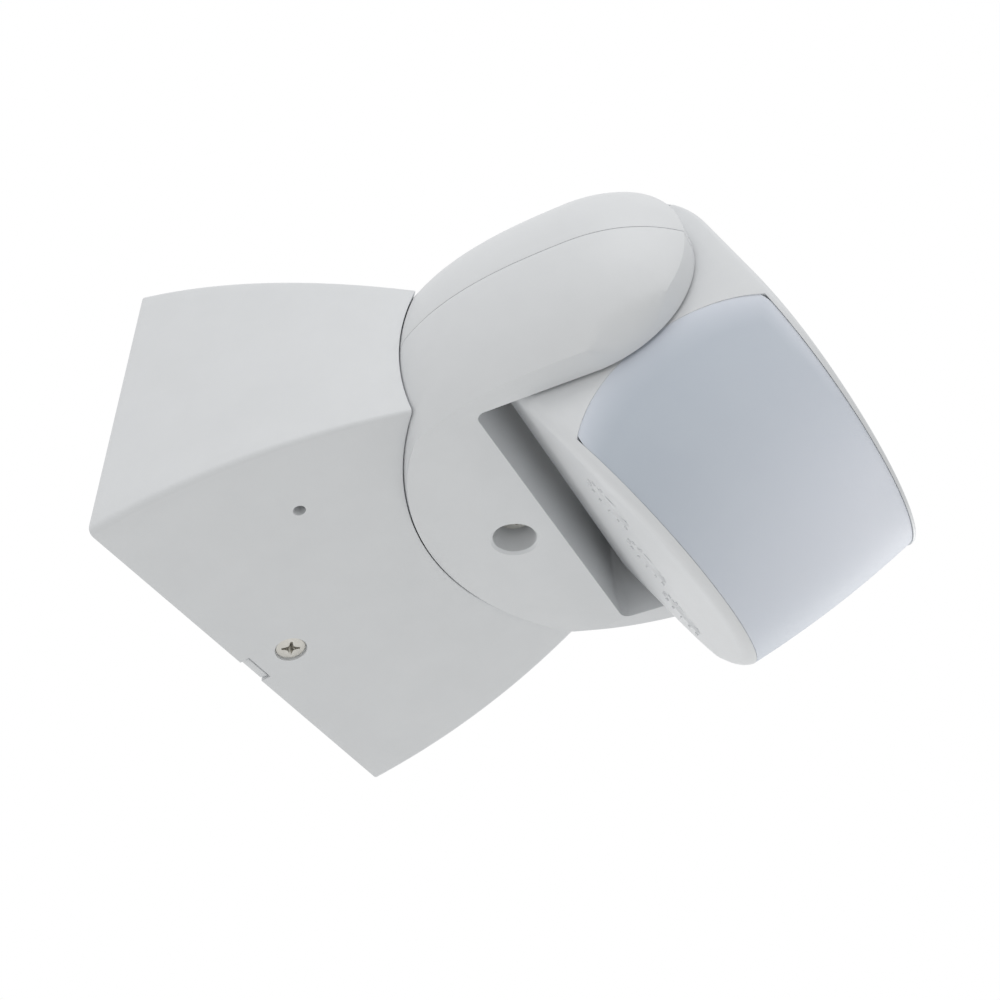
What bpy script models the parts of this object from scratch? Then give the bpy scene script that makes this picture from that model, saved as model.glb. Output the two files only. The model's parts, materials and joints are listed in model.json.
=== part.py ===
"""Outdoor motion sensor: a wall base, a yoke that pans on it and a head that tilts in the yoke.

Metres, +Z up. The wall is the plane y = 0, and the sensor stands out from it along -Y.
The yoke and the head are drawn about one pivot point, where the pan and the tilt axis cross.
"""

import math

import bmesh
import bpy
from mathutils import Matrix, Vector

MM = 0.001

# Fits and walls shared by all pieces
GAP = 0.3 * MM  # between pieces that lie on each other
PLAY = 0.4 * MM  # between pieces that slide or turn on each other
WALL = 2.2 * MM

# Wall base
BASE_WIDTH = 90 * MM
BASE_HEIGHT = 57.1 * MM
BASE_DEPTH = 51.7 * MM
FRONT_WIDTH = 65.7 * MM
FRONT_HEIGHT = 29.3 * MM
SIDE_BULGE = 3.0 * MM
BACK_CORNER = 1.4 * MM
FRONT_CORNER = 0.7 * MM
PLATE_THICKNESS = 2.5 * MM
SEAL_THICKNESS = 1.5 * MM
SEAL_BAR = 2.0 * MM
SLOT_SPACING = 60 * MM
SLOT_WIDTH = 4.6 * MM
SLOT_LENGTH = 10 * MM
CABLE_HOLE = 16 * MM  # diameter
CABLE_FROM_EDGE = 33 * MM  # middle of the hole, from the base's right side
CABLE_X = BASE_WIDTH / 2 - CABLE_FROM_EDGE
GROMMET_BORE = 3 * MM  # what its lip leaves open less than the hole, on each side
GROMMET_FLANGE = 2.4 * MM
COVER_SCREW_DEPTH = 8.4 * MM  # distance of the screw from the wall
COVER_SCREW_HEAD = 5.6 * MM  # diameter
COVER_SCREW_SHANK = 3.0 * MM
COVER_SCREW_LENGTH = 10 * MM
NOTCH_WIDTH = 6.8 * MM
NOTCH_DEPTH = 1.9 * MM
PRY_TAB_RECESS = 0.6 * MM  # of the plate's tab in the notch, from the cover's skin
DRAIN_HOLE = 2.1 * MM
DRAIN_X = -27 * MM
DRAIN_DEPTH = 27.2 * MM
TERMINAL_POLES = 3
TERMINAL_PITCH = 8 * MM
TERMINAL_CLEAR = 1.6 * MM  # from the grommet's flange
TERMINAL_X = CABLE_X - CABLE_HOLE / 2 - GROMMET_FLANGE - TERMINAL_CLEAR - TERMINAL_POLES * TERMINAL_PITCH / 2
TERMINAL_DEEP = 13 * MM
TERMINAL_HIGH = 12 * MM
TERMINAL_SCREW = 3.6 * MM  # diameter
TERMINAL_BORE = 5 * MM  # depth
WIRE_ENTRY = 1.7 * MM  # radius
WIRE_ENTRY_DEEP = 7 * MM
LUG_HALF_WIDTH = 5 * MM
LUG_TOP = 12 * MM  # below the middle
LUG_PAST_SCREW = 4.6 * MM

# Pivot point and the round seat about it
PIVOT_DEPTH = 81.5 * MM
SEAT_RADIUS = 46.8 * MM
PAN_RANGE = math.radians(25)

# Yoke
YOKE_RADIUS = SEAT_RADIUS - PLAY
YOKE_HALF_WIDTH = 41.4 * MM
YOKE_HALF_HEIGHT = 18 * MM
YOKE_REAR_EASE = 0.1 * MM
YOKE_REAR_LENGTH = YOKE_RADIUS - YOKE_REAR_EASE  # its back only just stays inside the ball
YOKE_FRONT_LENGTH = 29.3 * MM
REAR_POWER = 2.57
FRONT_POWER = 2.3
YOKE_EDGE = 1.0 * MM
CROWN_START = math.radians(10)  # from straight back, where the flat skin starts to swell into the arm's dome
CROWN_FULL = math.radians(50)
PARTING_GAP = GAP
SLOT_HALF_WIDTH = 30.4 * MM
NECK_HALF_WIDTH = 20 * MM
NECK_HALF_HEIGHT = 14.8 * MM
NECK_REAR = 37.5 * MM
STUD_RADIUS = 5 * MM
STUD_BORE = 3.25 * MM
STUD_FLANGE = 8 * MM
STUD_FLANGE_THICK = 2.2 * MM
SHOE_THICKNESS = 2.5 * MM
SHOE_HALF_ANGLE = math.radians(10)
SHOE_HALF_HEIGHT = 8 * MM
WASHER_THICKNESS = 1.2 * MM
NUT_THICKNESS = 3.0 * MM
SWIVEL_NUT_RADIUS = 8.6 * MM
CLAMP_DEPTH = 53.4 * MM  # distance of the clamp screw from the wall
CLAMP_HOLE = 7.65 * MM  # diameter
CLAMP_SEAT = 11 * MM  # below the parting line
CLAMP_HEAD = 5.6 * MM
CLAMP_SHANK = 3.0 * MM
CLAMP_POST = 5.5 * MM
INSERT_RADIUS = 2.5 * MM
INSERT_LENGTH = 7 * MM
INSERT_TOP = 13 * MM

# Head, drawn level about the pivot: forward is -Y, up is +Z
TILT_AT_REST = math.radians(63.5)
HEAD_SIDE_PLAY = 0.6 * MM
HEAD_HALF_WIDTH = SLOT_HALF_WIDTH - HEAD_SIDE_PLAY
HEAD_RADIUS = 20.8 * MM
HEAD_RISE = 0.95 * MM  # of the round back's centre above the pivot
SLOT_PLAY = 0.5 * MM
SLOT_REAR = HEAD_RADIUS + SLOT_PLAY
HEAD_SPLIT = 6 * MM  # joint of the two shells, behind the pivot
NOSE_CENTRE = 17.7 * MM  # forward of the pivot
NOSE_TOP = 16.9 * MM  # heights of the nose's edges above and below the pivot
NOSE_BOTTOM = 15.8 * MM
FOLD = 31 * MM  # forward of the pivot, where the underside turns up
FOLD_BOTTOM = 18 * MM
LENS_TOP = (18.2 * MM, 16.0 * MM)  # at the rear corner of the lens, then at the nose
LENS_BOTTOM = (16.7 * MM, 13.9 * MM)
LENS_BARREL = 0.6 * MM
LENS_THICKNESS = 1.2 * MM
LENS_BORDER_MID = 16.7 * MM
LENS_BORDER_CORNER = 23.9 * MM
PIVOT_RADIUS = 4 * MM
PIVOT_THREAD = 3 * MM
PIVOT_IN_ARM = 6.6 * MM
TILT_WASHER = 6.5 * MM
TILT_NUT = 5.7 * MM
BOARD_FRONT = 10.6 * MM
BOARD_THICKNESS = 1.6 * MM
BOARD_HALF_HEIGHT = 15 * MM
BOARD_SCREW = (22 * MM, 11 * MM)
REAR_SCREW = (24 * MM, -13 * MM)
REAR_SCREW_SEAT = 9.3 * MM
REAR_SCREW_HEAD = 1.8 * MM
REAR_SCREW_LENGTH = 11 * MM
BOARD_SCREW_HEAD = 1.5 * MM
BOARD_SCREW_LENGTH = 7 * MM
BOARD_SCREW_WAY = 4.5 * MM
SMALL_HEAD = 2.4 * MM  # radius
SMALL_SHANK = 1.2 * MM
DIAL_SPACING = 16 * MM
DIAL_FORWARD = 26.5 * MM
DIAL_RADIUS = 3.4 * MM
DIAL_STEM = 1.5 * MM
DIAL_STEM_REACH = 1.1 * MM  # above the case wall
POT_SIZE = (8 * MM, 7 * MM, 4.5 * MM)
CONTROL_BOARD_MARGIN = 1.5 * MM  # round the trimmers
DETECTOR = (4.6 * MM, 4.5 * MM)  # radius and height of the can
DETECTOR_HEIGHT = 2 * MM  # above the pivot
LIGHT_SENSOR = (2.5 * MM, 3.6 * MM)
LED = (1.5 * MM, 5 * MM)
LIGHTS_AT = (14 * MM, 6 * MM)  # of the light sensor, and mirrored of the LED
RELAY = (19 * MM, 15 * MM, 16 * MM)
FILM_CAPACITOR = (17 * MM, 9 * MM, 13 * MM)
CAN = (4 * MM, 12 * MM)
CAN_AT = (11 * MM, -8 * MM)
PARTS_APART = 2 * MM
FILM_LOW = -1 * MM

TURN = {
    "X": Matrix.Rotation(math.pi / 2, 4, "Y"),
    "Y": Matrix.Rotation(-math.pi / 2, 4, "X"),
    "Z": Matrix.Identity(4),
}
COLOURS = {
    "housing_plastic": ((0.80, 0.81, 0.83), 0.45, 0.0),
    "lens_plastic": ((0.72, 0.74, 0.77), 0.4, 0.0),
    "inner_plastic": ((0.25, 0.26, 0.28), 0.5, 0.0),
    "terminal_plastic": ((0.85, 0.83, 0.76), 0.5, 0.0),
    "rubber": ((0.04, 0.04, 0.045), 0.8, 0.0),
    "steel": ((0.62, 0.62, 0.63), 0.3, 1.0),
    "brass": ((0.75, 0.58, 0.28), 0.35, 1.0),
    "board": ((0.05, 0.25, 0.12), 0.5, 0.0),
    "relay_blue": ((0.06, 0.14, 0.38), 0.4, 0.0),
    "film_yellow": ((0.80, 0.60, 0.12), 0.4, 0.0),
    "led_red": ((0.70, 0.06, 0.05), 0.3, 0.0),
}


class Shop:
    """Holds the two collections and makes, places and cuts the pieces."""

    def __init__(self):
        for obj in list(bpy.data.objects):
            bpy.data.objects.remove(obj)
        self.parts = self.collection("motion_sensor")
        self.cutters = self.collection("cutters")
        self.cutters.hide_render = True
        self.materials = {name: self.material(name) for name in COLOURS}

    def collection(self, name):
        made = bpy.data.collections.new(name)
        bpy.context.scene.collection.children.link(made)
        return made

    def material(self, name):
        colour, roughness, metallic = COLOURS[name]
        made = bpy.data.materials.new(name)
        made.use_nodes = True
        shader = made.node_tree.nodes["Principled BSDF"]
        shader.inputs["Base Color"].default_value = (*colour, 1)
        shader.inputs["Roughness"].default_value = roughness
        shader.inputs["Metallic"].default_value = metallic
        return made

    def frame(self, name, location=(0, 0, 0), tilt=0.0):
        """An empty that a sub-assembly hangs on, placed on its joint axis."""
        empty = bpy.data.objects.new(name, None)
        empty.location = location
        empty.rotation_euler = (tilt, 0, 0)
        empty.empty_display_size = 0.01
        self.parts.objects.link(empty)
        return empty

    def place(self, name, mesh, parent, material=None, basis=None):
        """A piece when it has a material, or else a cutter."""
        obj = bpy.data.objects.new(name, mesh)
        obj.parent = parent
        if basis is not None:
            obj.matrix_basis = basis
        if material:
            mesh.materials.append(self.materials[material])
            self.parts.objects.link(obj)
        else:
            obj.hide_render = True
            obj.display_type = "WIRE"
            self.cutters.objects.link(obj)
        return obj

    def box(self, name, low, high, parent, material=None):
        low, high = Vector(low), Vector(high)
        grown = bmesh.new()
        bmesh.ops.create_cube(grown, size=1)
        bmesh.ops.scale(grown, vec=high - low, verts=grown.verts)
        bmesh.ops.translate(grown, vec=(low + high) / 2, verts=grown.verts)
        return self.place(name, self.finished(name, grown), parent, material)

    def cylinder(self, name, radius, low, high, axis, at, parent, material=None, sides=32):
        """A cylinder from low to high along an axis; at holds its other two coordinates in X, Y, Z order."""
        grown = bmesh.new()
        bmesh.ops.create_cone(
            grown, cap_ends=True, segments=sides, radius1=radius, radius2=radius, depth=high - low
        )
        bmesh.ops.translate(grown, vec=(0, 0, (low + high) / 2), verts=grown.verts)
        for face in grown.faces:
            face.smooth = len(face.verts) == 4 and sides > 8
        basis = Matrix.Translation(spot(axis, at)) @ TURN[axis]
        return self.place(name, self.finished(name, grown), parent, material, basis)

    def turned(self, name, profile, parent, material=None, basis=None, ring=False, steps=32):
        """A profile of (radius, height) points, from the top down its outer side, turned about local Z."""
        mesh = bpy.data.meshes.new(name)
        count = len(profile)
        edges = [(i, i + 1) for i in range(count - 1)] + ([(count - 1, 0)] if ring else [])
        mesh.from_pydata([(r, 0, z) for r, z in profile], edges, [])
        obj = self.place(name, mesh, parent, material, basis)
        screw = obj.modifiers.new("turn", "SCREW")
        screw.steps = screw.render_steps = steps
        screw.use_merge_vertices = True
        screw.merge_threshold = 1e-6
        screw.use_smooth_shade = False
        return obj

    def plate(self, name, outline, low, high, axis, parent, material=None):
        """A flat outline thickened from low to high along an axis; its points are in X, Y, Z order."""
        points = [spot(axis, point) + Vector(low if i == axis_index(axis) else 0 for i in range(3))
                  for point in outline]
        mesh = bpy.data.meshes.new(name)
        mesh.from_pydata(points, [], [range(len(points))])
        if mesh.polygons[0].normal[axis_index(axis)] < 0:
            mesh.flip_normals()
        obj = self.place(name, mesh, parent, material)
        thick = obj.modifiers.new("thicken", "SOLIDIFY")
        thick.thickness = high - low
        thick.offset = 1
        return obj

    def loft(self, name, rings, parent, material=None):
        """A skin over rings of equally many points, with flat ends."""
        grown = bmesh.new()
        rows = [[grown.verts.new(point) for point in ring] for ring in rings]
        count = len(rows[0])
        for one, two in zip(rows, rows[1:]):
            for i in range(count):
                j = (i + 1) % count
                grown.faces.new((one[i], one[j], two[j], two[i])).smooth = True
        grown.faces.new(rows[0])
        grown.faces.new(rows[-1])
        bmesh.ops.recalc_face_normals(grown, faces=grown.faces)
        return self.place(name, self.finished(name, grown), parent, material)

    def ball(self, name, radius, parent, material=None):
        grown = bmesh.new()
        bmesh.ops.create_uvsphere(grown, u_segments=80, v_segments=40, radius=radius)
        return self.place(name, self.finished(name, grown), parent, material)

    def finished(self, name, grown):
        mesh = bpy.data.meshes.new(name)
        grown.to_mesh(mesh)
        grown.free()
        return mesh

    def combine(self, operation, obj, *others):
        for other in others:
            step = obj.modifiers.new(f"{operation.lower()}_{other.name}", "BOOLEAN")
            step.operation = operation
            step.solver = "EXACT"
            step.object = other
        return obj

    def cut(self, obj, *others):
        return self.combine("DIFFERENCE", obj, *others)

    def join(self, obj, *others):
        return self.combine("UNION", obj, *others)

    def common(self, obj, *others):
        return self.combine("INTERSECT", obj, *others)

    def screw(self, name, parent, basis, head_radius, head_height, shank_radius, length, flat_head=False):
        """A screw with its head's top at the basis, pointing along its +Z, and a cross cut in the head."""
        under = shank_radius if flat_head else head_radius
        profile = [(0, 0), (head_radius, 0), (under, -head_height), (shank_radius, -head_height),
                   (shank_radius, -length), (0, -length)]
        if flat_head:
            profile.pop(3)
        obj = self.turned(name, profile, parent, "steel", basis, steps=24)
        deep, wide, long = 0.55 * head_height, 0.16 * head_radius, 0.62 * head_radius
        for turn, (x, y) in enumerate(((wide, long), (long, wide))):
            blade = self.box(f"{name}_cross_{turn}", (-x, -y, -deep), (x, y, deep), parent)
            blade.matrix_basis = basis
            self.cut(obj, blade)
        return obj


def axis_index(axis):
    return "XYZ".index(axis)


def spot(axis, at):
    """The point whose two coordinates beside the axis are given."""
    point = list(at)
    point.insert(axis_index(axis), 0)
    return Vector(point)


def arc(centre, radius, start, end, steps):
    """Points on an arc, with the angles in radians."""
    return [
        (centre[0] + radius * math.cos(start + (end - start) * i / steps),
         centre[1] + radius * math.sin(start + (end - start) * i / steps))
        for i in range(steps + 1)
    ]


def base_half_height(depth):
    return (BASE_HEIGHT + (FRONT_HEIGHT - BASE_HEIGHT) * depth / BASE_DEPTH) / 2


def base_half_width(depth):
    share = depth / BASE_DEPTH
    return (BASE_WIDTH + (FRONT_WIDTH - BASE_WIDTH) * share) / 2 + SIDE_BULGE * 4 * share * (1 - share)


def base_ring(depth, inset):
    """The base's rounded outline at a distance from the wall, drawn in by an inset."""
    wide, high = base_half_width(depth) - inset, base_half_height(depth) - inset
    share = min(max(depth / BASE_DEPTH, 0), 1)
    corner = max(BACK_CORNER + (FRONT_CORNER - BACK_CORNER) * share - inset, 0.4 * MM)
    ring = []
    for turn, (sx, sz) in enumerate(((1, 1), (-1, 1), (-1, -1), (1, -1))):
        centre = (sx * (wide - corner), sz * (high - corner))
        start = turn * math.pi / 2
        ring += [(x, -depth, z) for x, z in arc(centre, corner, start, start + math.pi / 2, 3)]
    return ring


def build_base(shop):
    base = shop.frame("base")
    seat = shop.frame("seat_centre", (0, -PIVOT_DEPTH, 0))
    slope = math.atan2((BASE_HEIGHT - FRONT_HEIGHT) / 2, BASE_DEPTH)
    beyond = 5 * MM

    depths = [BASE_DEPTH * i / 10 for i in range(11)] + [BASE_DEPTH + beyond]
    cover = shop.loft("base_cover", [base_ring(depth, 0) for depth in depths], base, "housing_plastic")
    hollow = shop.loft("cover_hollow", [base_ring(depth, WALL) for depth in [-1 * MM] + depths[1:]], base)
    shop.cut(hollow, shop.ball("seat_wall", SEAT_RADIUS + WALL, seat))
    shop.cut(cover, shop.ball("seat", SEAT_RADIUS, seat), hollow)

    window_angle = PAN_RANGE + math.asin((STUD_RADIUS + PLAY) / SEAT_RADIUS)
    middle = math.pi / 2
    window = shop.plate(
        "seat_window",
        arc((0, 0), SEAT_RADIUS - 2 * WALL, middle - window_angle, middle + window_angle, 16)
        + arc((0, 0), SEAT_RADIUS + 2 * WALL, middle + window_angle, middle - window_angle, 16),
        -STUD_RADIUS - PLAY, STUD_RADIUS + PLAY, "Z", seat,
    )
    under = -base_half_height(COVER_SCREW_DEPTH)
    out = Matrix.Translation((0, -COVER_SCREW_DEPTH, under)) @ Matrix.Rotation(math.pi - slope, 4, "X")
    head, shank = COVER_SCREW_HEAD / 2, COVER_SCREW_SHANK / 2
    sink = shop.turned(
        "screw_sink",
        [(0, beyond), (head + PLAY, beyond), (head + PLAY, -PLAY), (shank + PLAY, -PLAY - head + shank),
         (shank + PLAY, -COVER_SCREW_LENGTH - PLAY), (0, -COVER_SCREW_LENGTH - PLAY)],
        base, basis=out, steps=24,
    )
    notch = shop.box(
        "pry_notch",
        (-NOTCH_WIDTH / 2, -NOTCH_DEPTH, -BASE_HEIGHT),
        (NOTCH_WIDTH / 2, beyond, -base_half_height(0) + WALL + PLAY), base,
    )
    drain = shop.cylinder(
        "drain", DRAIN_HOLE / 2, -BASE_HEIGHT, 0, "Z", (DRAIN_X, -DRAIN_DEPTH), base, sides=16,
    )
    shop.cut(cover, window, sink, notch, drain)
    sunk = out @ Matrix.Translation((0, 0, -PLAY - GAP))
    shop.screw(
        "cover_screw", base, sunk, head, head - shank, shank, COVER_SCREW_LENGTH - PLAY, flat_head=True,
    )

    plate_high = base_half_height(PLATE_THICKNESS) - WALL - PLAY
    plate_wide = base_half_width(0) - WALL - PLAY
    plate = shop.box(
        "mounting_plate", (-plate_wide, -PLATE_THICKNESS, -plate_high), (plate_wide, 0, plate_high),
        base, "inner_plastic",
    )
    lug_front = COVER_SCREW_DEPTH + LUG_PAST_SCREW
    lug_low = -base_half_height(lug_front) + WALL + 2 * PLAY
    lug = shop.box(
        "lug", (-LUG_HALF_WIDTH, -lug_front, lug_low), (LUG_HALF_WIDTH, -PLATE_THICKNESS / 2, -LUG_TOP), base,
    )
    tab = shop.box(
        "pry_tab", (PLAY - NOTCH_WIDTH / 2, PLAY - NOTCH_DEPTH, PRY_TAB_RECESS - base_half_height(0)),
        (NOTCH_WIDTH / 2 - PLAY, 0, WALL - plate_high), base,
    )
    shop.join(plate, lug, tab)
    ends = (SLOT_LENGTH - SLOT_WIDTH) / 2
    for side in (-1, 1):
        x = side * SLOT_SPACING / 2
        outline = arc((x, ends), SLOT_WIDTH / 2, 0, math.pi, 8)
        outline += arc((x, -ends), SLOT_WIDTH / 2, math.pi, 2 * math.pi, 8)
        shop.cut(plate, shop.plate(f"wall_slot_{side}", outline, -beyond, beyond, "Y", base))
    hole = CABLE_HOLE / 2
    shop.cut(plate, shop.cylinder("cable_hole", hole, -beyond, beyond, "Y", (CABLE_X, 0), base), sink)

    seal_back = PLATE_THICKNESS + GAP
    seal_front = seal_back + SEAL_THICKNESS
    seal_high = base_half_height(seal_front) - WALL - PLAY
    seal_wide = plate_wide - GAP
    seal = shop.box(
        "cover_seal", (-seal_wide, -seal_front, -seal_high), (seal_wide, -seal_back, seal_high),
        base, "rubber",
    )
    shop.cut(seal, shop.box(
        "seal_middle",
        (SEAL_BAR - seal_wide, -seal_front - beyond, SEAL_BAR - seal_high),
        (seal_wide - SEAL_BAR, beyond, seal_high - SEAL_BAR), base,
    ))

    forward = Matrix.Translation((CABLE_X, 0, 0)) @ TURN["Y"].inverted()
    lip, rim, mouth = hole - GROMMET_BORE, hole + GROMMET_FLANGE, hole - GROMMET_FLANGE
    skin = 0.8 * MM
    shop.turned(
        "cable_grommet",
        [(0, 2 * skin), (lip, 2 * skin), (lip, seal_front), (rim, seal_front), (rim, seal_back),
         (hole - GAP, seal_back), (hole - GAP, GAP), (mouth, GAP), (mouth, skin), (0, skin)],
        base, "rubber", forward,
    )

    block_wide, block_front = TERMINAL_POLES * TERMINAL_PITCH / 2, seal_back + TERMINAL_DEEP
    block = shop.box(
        "terminal_block", (TERMINAL_X - block_wide, -block_front, -TERMINAL_HIGH / 2),
        (TERMINAL_X + block_wide, -seal_back, TERMINAL_HIGH / 2), base, "terminal_plastic",
    )
    for pole in range(TERMINAL_POLES):
        x = TERMINAL_X + (pole - (TERMINAL_POLES - 1) / 2) * TERMINAL_PITCH
        clamp = shop.cylinder(
            f"clamp_bore_{pole}", TERMINAL_SCREW / 2 + GAP,
            -block_front - beyond, TERMINAL_BORE - block_front, "Y", (x, 0), base, sides=24,
        )
        entry = shop.cylinder(
            f"wire_entry_{pole}", WIRE_ENTRY, -TERMINAL_HIGH, 0, "Z",
            (x, WIRE_ENTRY_DEEP - block_front), base, sides=16,
        )
        shop.cut(block, clamp, entry)
        out = Matrix.Translation((x, 0.8 * MM - block_front, 0)) @ TURN["Y"].inverted()
        radius = TERMINAL_SCREW / 2
        shop.screw(f"terminal_screw_{pole + 1}", base, out, radius, 1.4 * MM, radius - GAP, 3.8 * MM)


def yoke_reach(angle, height):
    """Distance of the yoke's skin from the pan axis, at an angle from straight back and a height."""
    start, full = math.sin(CROWN_START / 2), math.sin(CROWN_FULL / 2)
    share = min(max((math.sin(angle / 2) - start) / (full - start), 0), 1)
    crown = share * share * (3 - 2 * share) * abs(height / YOKE_FRONT_LENGTH) ** FRONT_POWER
    half_width = YOKE_HALF_WIDTH * (1 - crown) ** (1 / FRONT_POWER)
    low, high = 0.0, 2 * YOKE_RADIUS
    for _ in range(40):
        radius = (low + high) / 2
        x, y = radius * math.sin(angle), radius * math.cos(angle)
        if y > 0:
            filled = abs(x / half_width) ** REAR_POWER + (y / YOKE_REAR_LENGTH) ** REAR_POWER
        else:  # the arm's end is a dome about the tilt axis
            off_axis = math.hypot(y, height) / YOKE_FRONT_LENGTH
            filled = abs(x / YOKE_HALF_WIDTH) ** FRONT_POWER + off_axis ** FRONT_POWER
        low, high = (radius, high) if filled < 1 else (low, radius)
    return low


def yoke_ring(height, steps=72):
    above = max(abs(height) - (YOKE_HALF_HEIGHT - YOKE_EDGE), 0)
    inset = YOKE_EDGE - math.sqrt(max(YOKE_EDGE ** 2 - above ** 2, 0))
    ring = []
    for i in range(steps):
        angle = 2 * math.pi * i / steps
        radius = min(yoke_reach(angle, height) - inset, math.sqrt(YOKE_RADIUS ** 2 - height ** 2))
        ring.append((radius * math.sin(angle), radius * math.cos(angle), height))
    return ring


def build_yoke(shop):
    yoke = shop.frame("yoke", (0, -PIVOT_DEPTH, 0))
    far = 2 * YOKE_RADIUS
    neck_wall = SLOT_REAR + 1.2 * WALL
    flange_seat = YOKE_RADIUS - 2.8 * MM
    clamp_y = PIVOT_DEPTH - CLAMP_DEPTH

    slot = shop.box("head_slot", (-SLOT_HALF_WIDTH, -far, -far), (SLOT_HALF_WIDTH, SLOT_REAR, far), yoke)
    pill = shop.plate(
        "arm_ends",
        [(far, -far), (far, far), (0, far)]
        + arc((0, 0), YOKE_HALF_HEIGHT, math.pi / 2, 1.5 * math.pi, 32) + [(0, -far)],
        -far, far, "X", yoke,
    )
    hollow = shop.box(
        "neck_hollow", (-NECK_HALF_WIDTH, neck_wall, -NECK_HALF_HEIGHT),
        (NECK_HALF_WIDTH, NECK_REAR, NECK_HALF_HEIGHT), yoke,
    )
    shop.cut(hollow, shop.cylinder("clamp_post", CLAMP_POST, -far, far, "Z", (0, clamp_y), yoke))
    pocket_front = NECK_REAR - 1.5 * MM
    pocket = shop.cylinder("flange_pocket", STUD_FLANGE + GAP, pocket_front, flange_seat, "Y", (0, 0), yoke)
    stud_hole = shop.cylinder("stud_hole", STUD_RADIUS + GAP, NECK_REAR, far, "Y", (0, 0), yoke)
    pivot_holes = [
        shop.cylinder(
            f"pivot_hole_{side}", PIVOT_RADIUS + GAP, low, high, "X", (0, 0), yoke,
        )
        for side, low, high in (
            ("left", -SLOT_HALF_WIDTH - PIVOT_IN_ARM, -SLOT_HALF_WIDTH + WALL),
            ("right", SLOT_HALF_WIDTH - WALL, SLOT_HALF_WIDTH + PIVOT_IN_ARM),
        )
    ]
    head, shank = CLAMP_HEAD / 2, CLAMP_SHANK / 2
    lower_bore = shop.turned(
        "lower_bore",
        [(0, 0), (shank + GAP, 0), (shank + GAP, -CLAMP_SEAT), (CLAMP_HOLE / 2, -CLAMP_SEAT),
         (CLAMP_HOLE / 2, -far), (0, -far)],
        yoke, basis=Matrix.Translation((0, clamp_y, GAP)),
    )
    upper_bore = shop.cylinder(
        "upper_bore", INSERT_RADIUS + GAP, -GAP, INSERT_TOP + GAP, "Z", (0, clamp_y), yoke,
    )
    steps = [0.22, 0.36, 0.5, 0.62, 0.73, 0.83, 0.9, 0.945, 0.975, 0.99, 1.0]
    heights = [PARTING_GAP / 2] + [share * YOKE_HALF_HEIGHT for share in steps]
    for name, side, bore in (("yoke_lower_shell", -1, lower_bore), ("yoke_upper_shell", 1, upper_bore)):
        shell = shop.loft(name, [yoke_ring(side * height) for height in heights], yoke, "housing_plastic")
        shop.common(shell, pill)
        shop.cut(shell, slot, hollow, pocket, stud_hole, *pivot_holes, bore)

    up = Matrix.Translation((0, clamp_y, -CLAMP_SEAT - 2.2 * MM)) @ Matrix.Rotation(math.pi, 4, "X")
    shop.screw("clamp_screw", yoke, up, head, 2.2 * MM, shank, CLAMP_SEAT + INSERT_TOP)
    shop.turned(
        "clamp_insert",
        [(shank + GAP, INSERT_TOP), (INSERT_RADIUS, INSERT_TOP), (INSERT_RADIUS, INSERT_TOP - INSERT_LENGTH),
         (shank + GAP, INSERT_TOP - INSERT_LENGTH)],
        yoke, "brass", Matrix.Translation((0, clamp_y, 0)), ring=True,
    )

    back = TURN["Y"]
    shoe_in = SEAT_RADIUS + WALL + PLAY
    shoe_out = shoe_in + SHOE_THICKNESS
    washer_in = shoe_out + GAP
    nut_in = washer_in + WASHER_THICKNESS + GAP
    stud_end = nut_in + NUT_THICKNESS + 1.0 * MM
    flange_in = flange_seat - GAP - STUD_FLANGE_THICK
    shop.turned(
        "swivel_stud",
        [(STUD_BORE, stud_end), (STUD_RADIUS, stud_end), (STUD_RADIUS, flange_seat - GAP),
         (STUD_FLANGE, flange_seat - GAP), (STUD_FLANGE, flange_in), (STUD_BORE, flange_in)],
        yoke, "brass", back, ring=True,
    )
    middle = math.pi / 2
    stud_way = shop.cylinder("stud_way", STUD_RADIUS + GAP, 0, far, "Y", (0, 0), yoke)
    shoe = shop.plate(
        "swivel_shoe",
        arc((0, 0), shoe_in, middle - SHOE_HALF_ANGLE, middle + SHOE_HALF_ANGLE, 10)
        + arc((0, 0), shoe_out, middle + SHOE_HALF_ANGLE, middle - SHOE_HALF_ANGLE, 10),
        -SHOE_HALF_HEIGHT, SHOE_HALF_HEIGHT, "Z", yoke, "inner_plastic",
    )
    shop.cut(shoe, stud_way)
    shop.turned(
        "swivel_washer",
        [(STUD_RADIUS + GAP, nut_in - GAP), (SHOE_HALF_HEIGHT, nut_in - GAP), (SHOE_HALF_HEIGHT, washer_in),
         (STUD_RADIUS + GAP, washer_in)],
        yoke, "steel", back, ring=True,
    )
    nut = shop.cylinder(
        "swivel_nut", SWIVEL_NUT_RADIUS, nut_in, nut_in + NUT_THICKNESS, "Y", (0, 0), yoke, "brass", sides=6,
    )
    shop.cut(nut, stud_way)

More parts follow.
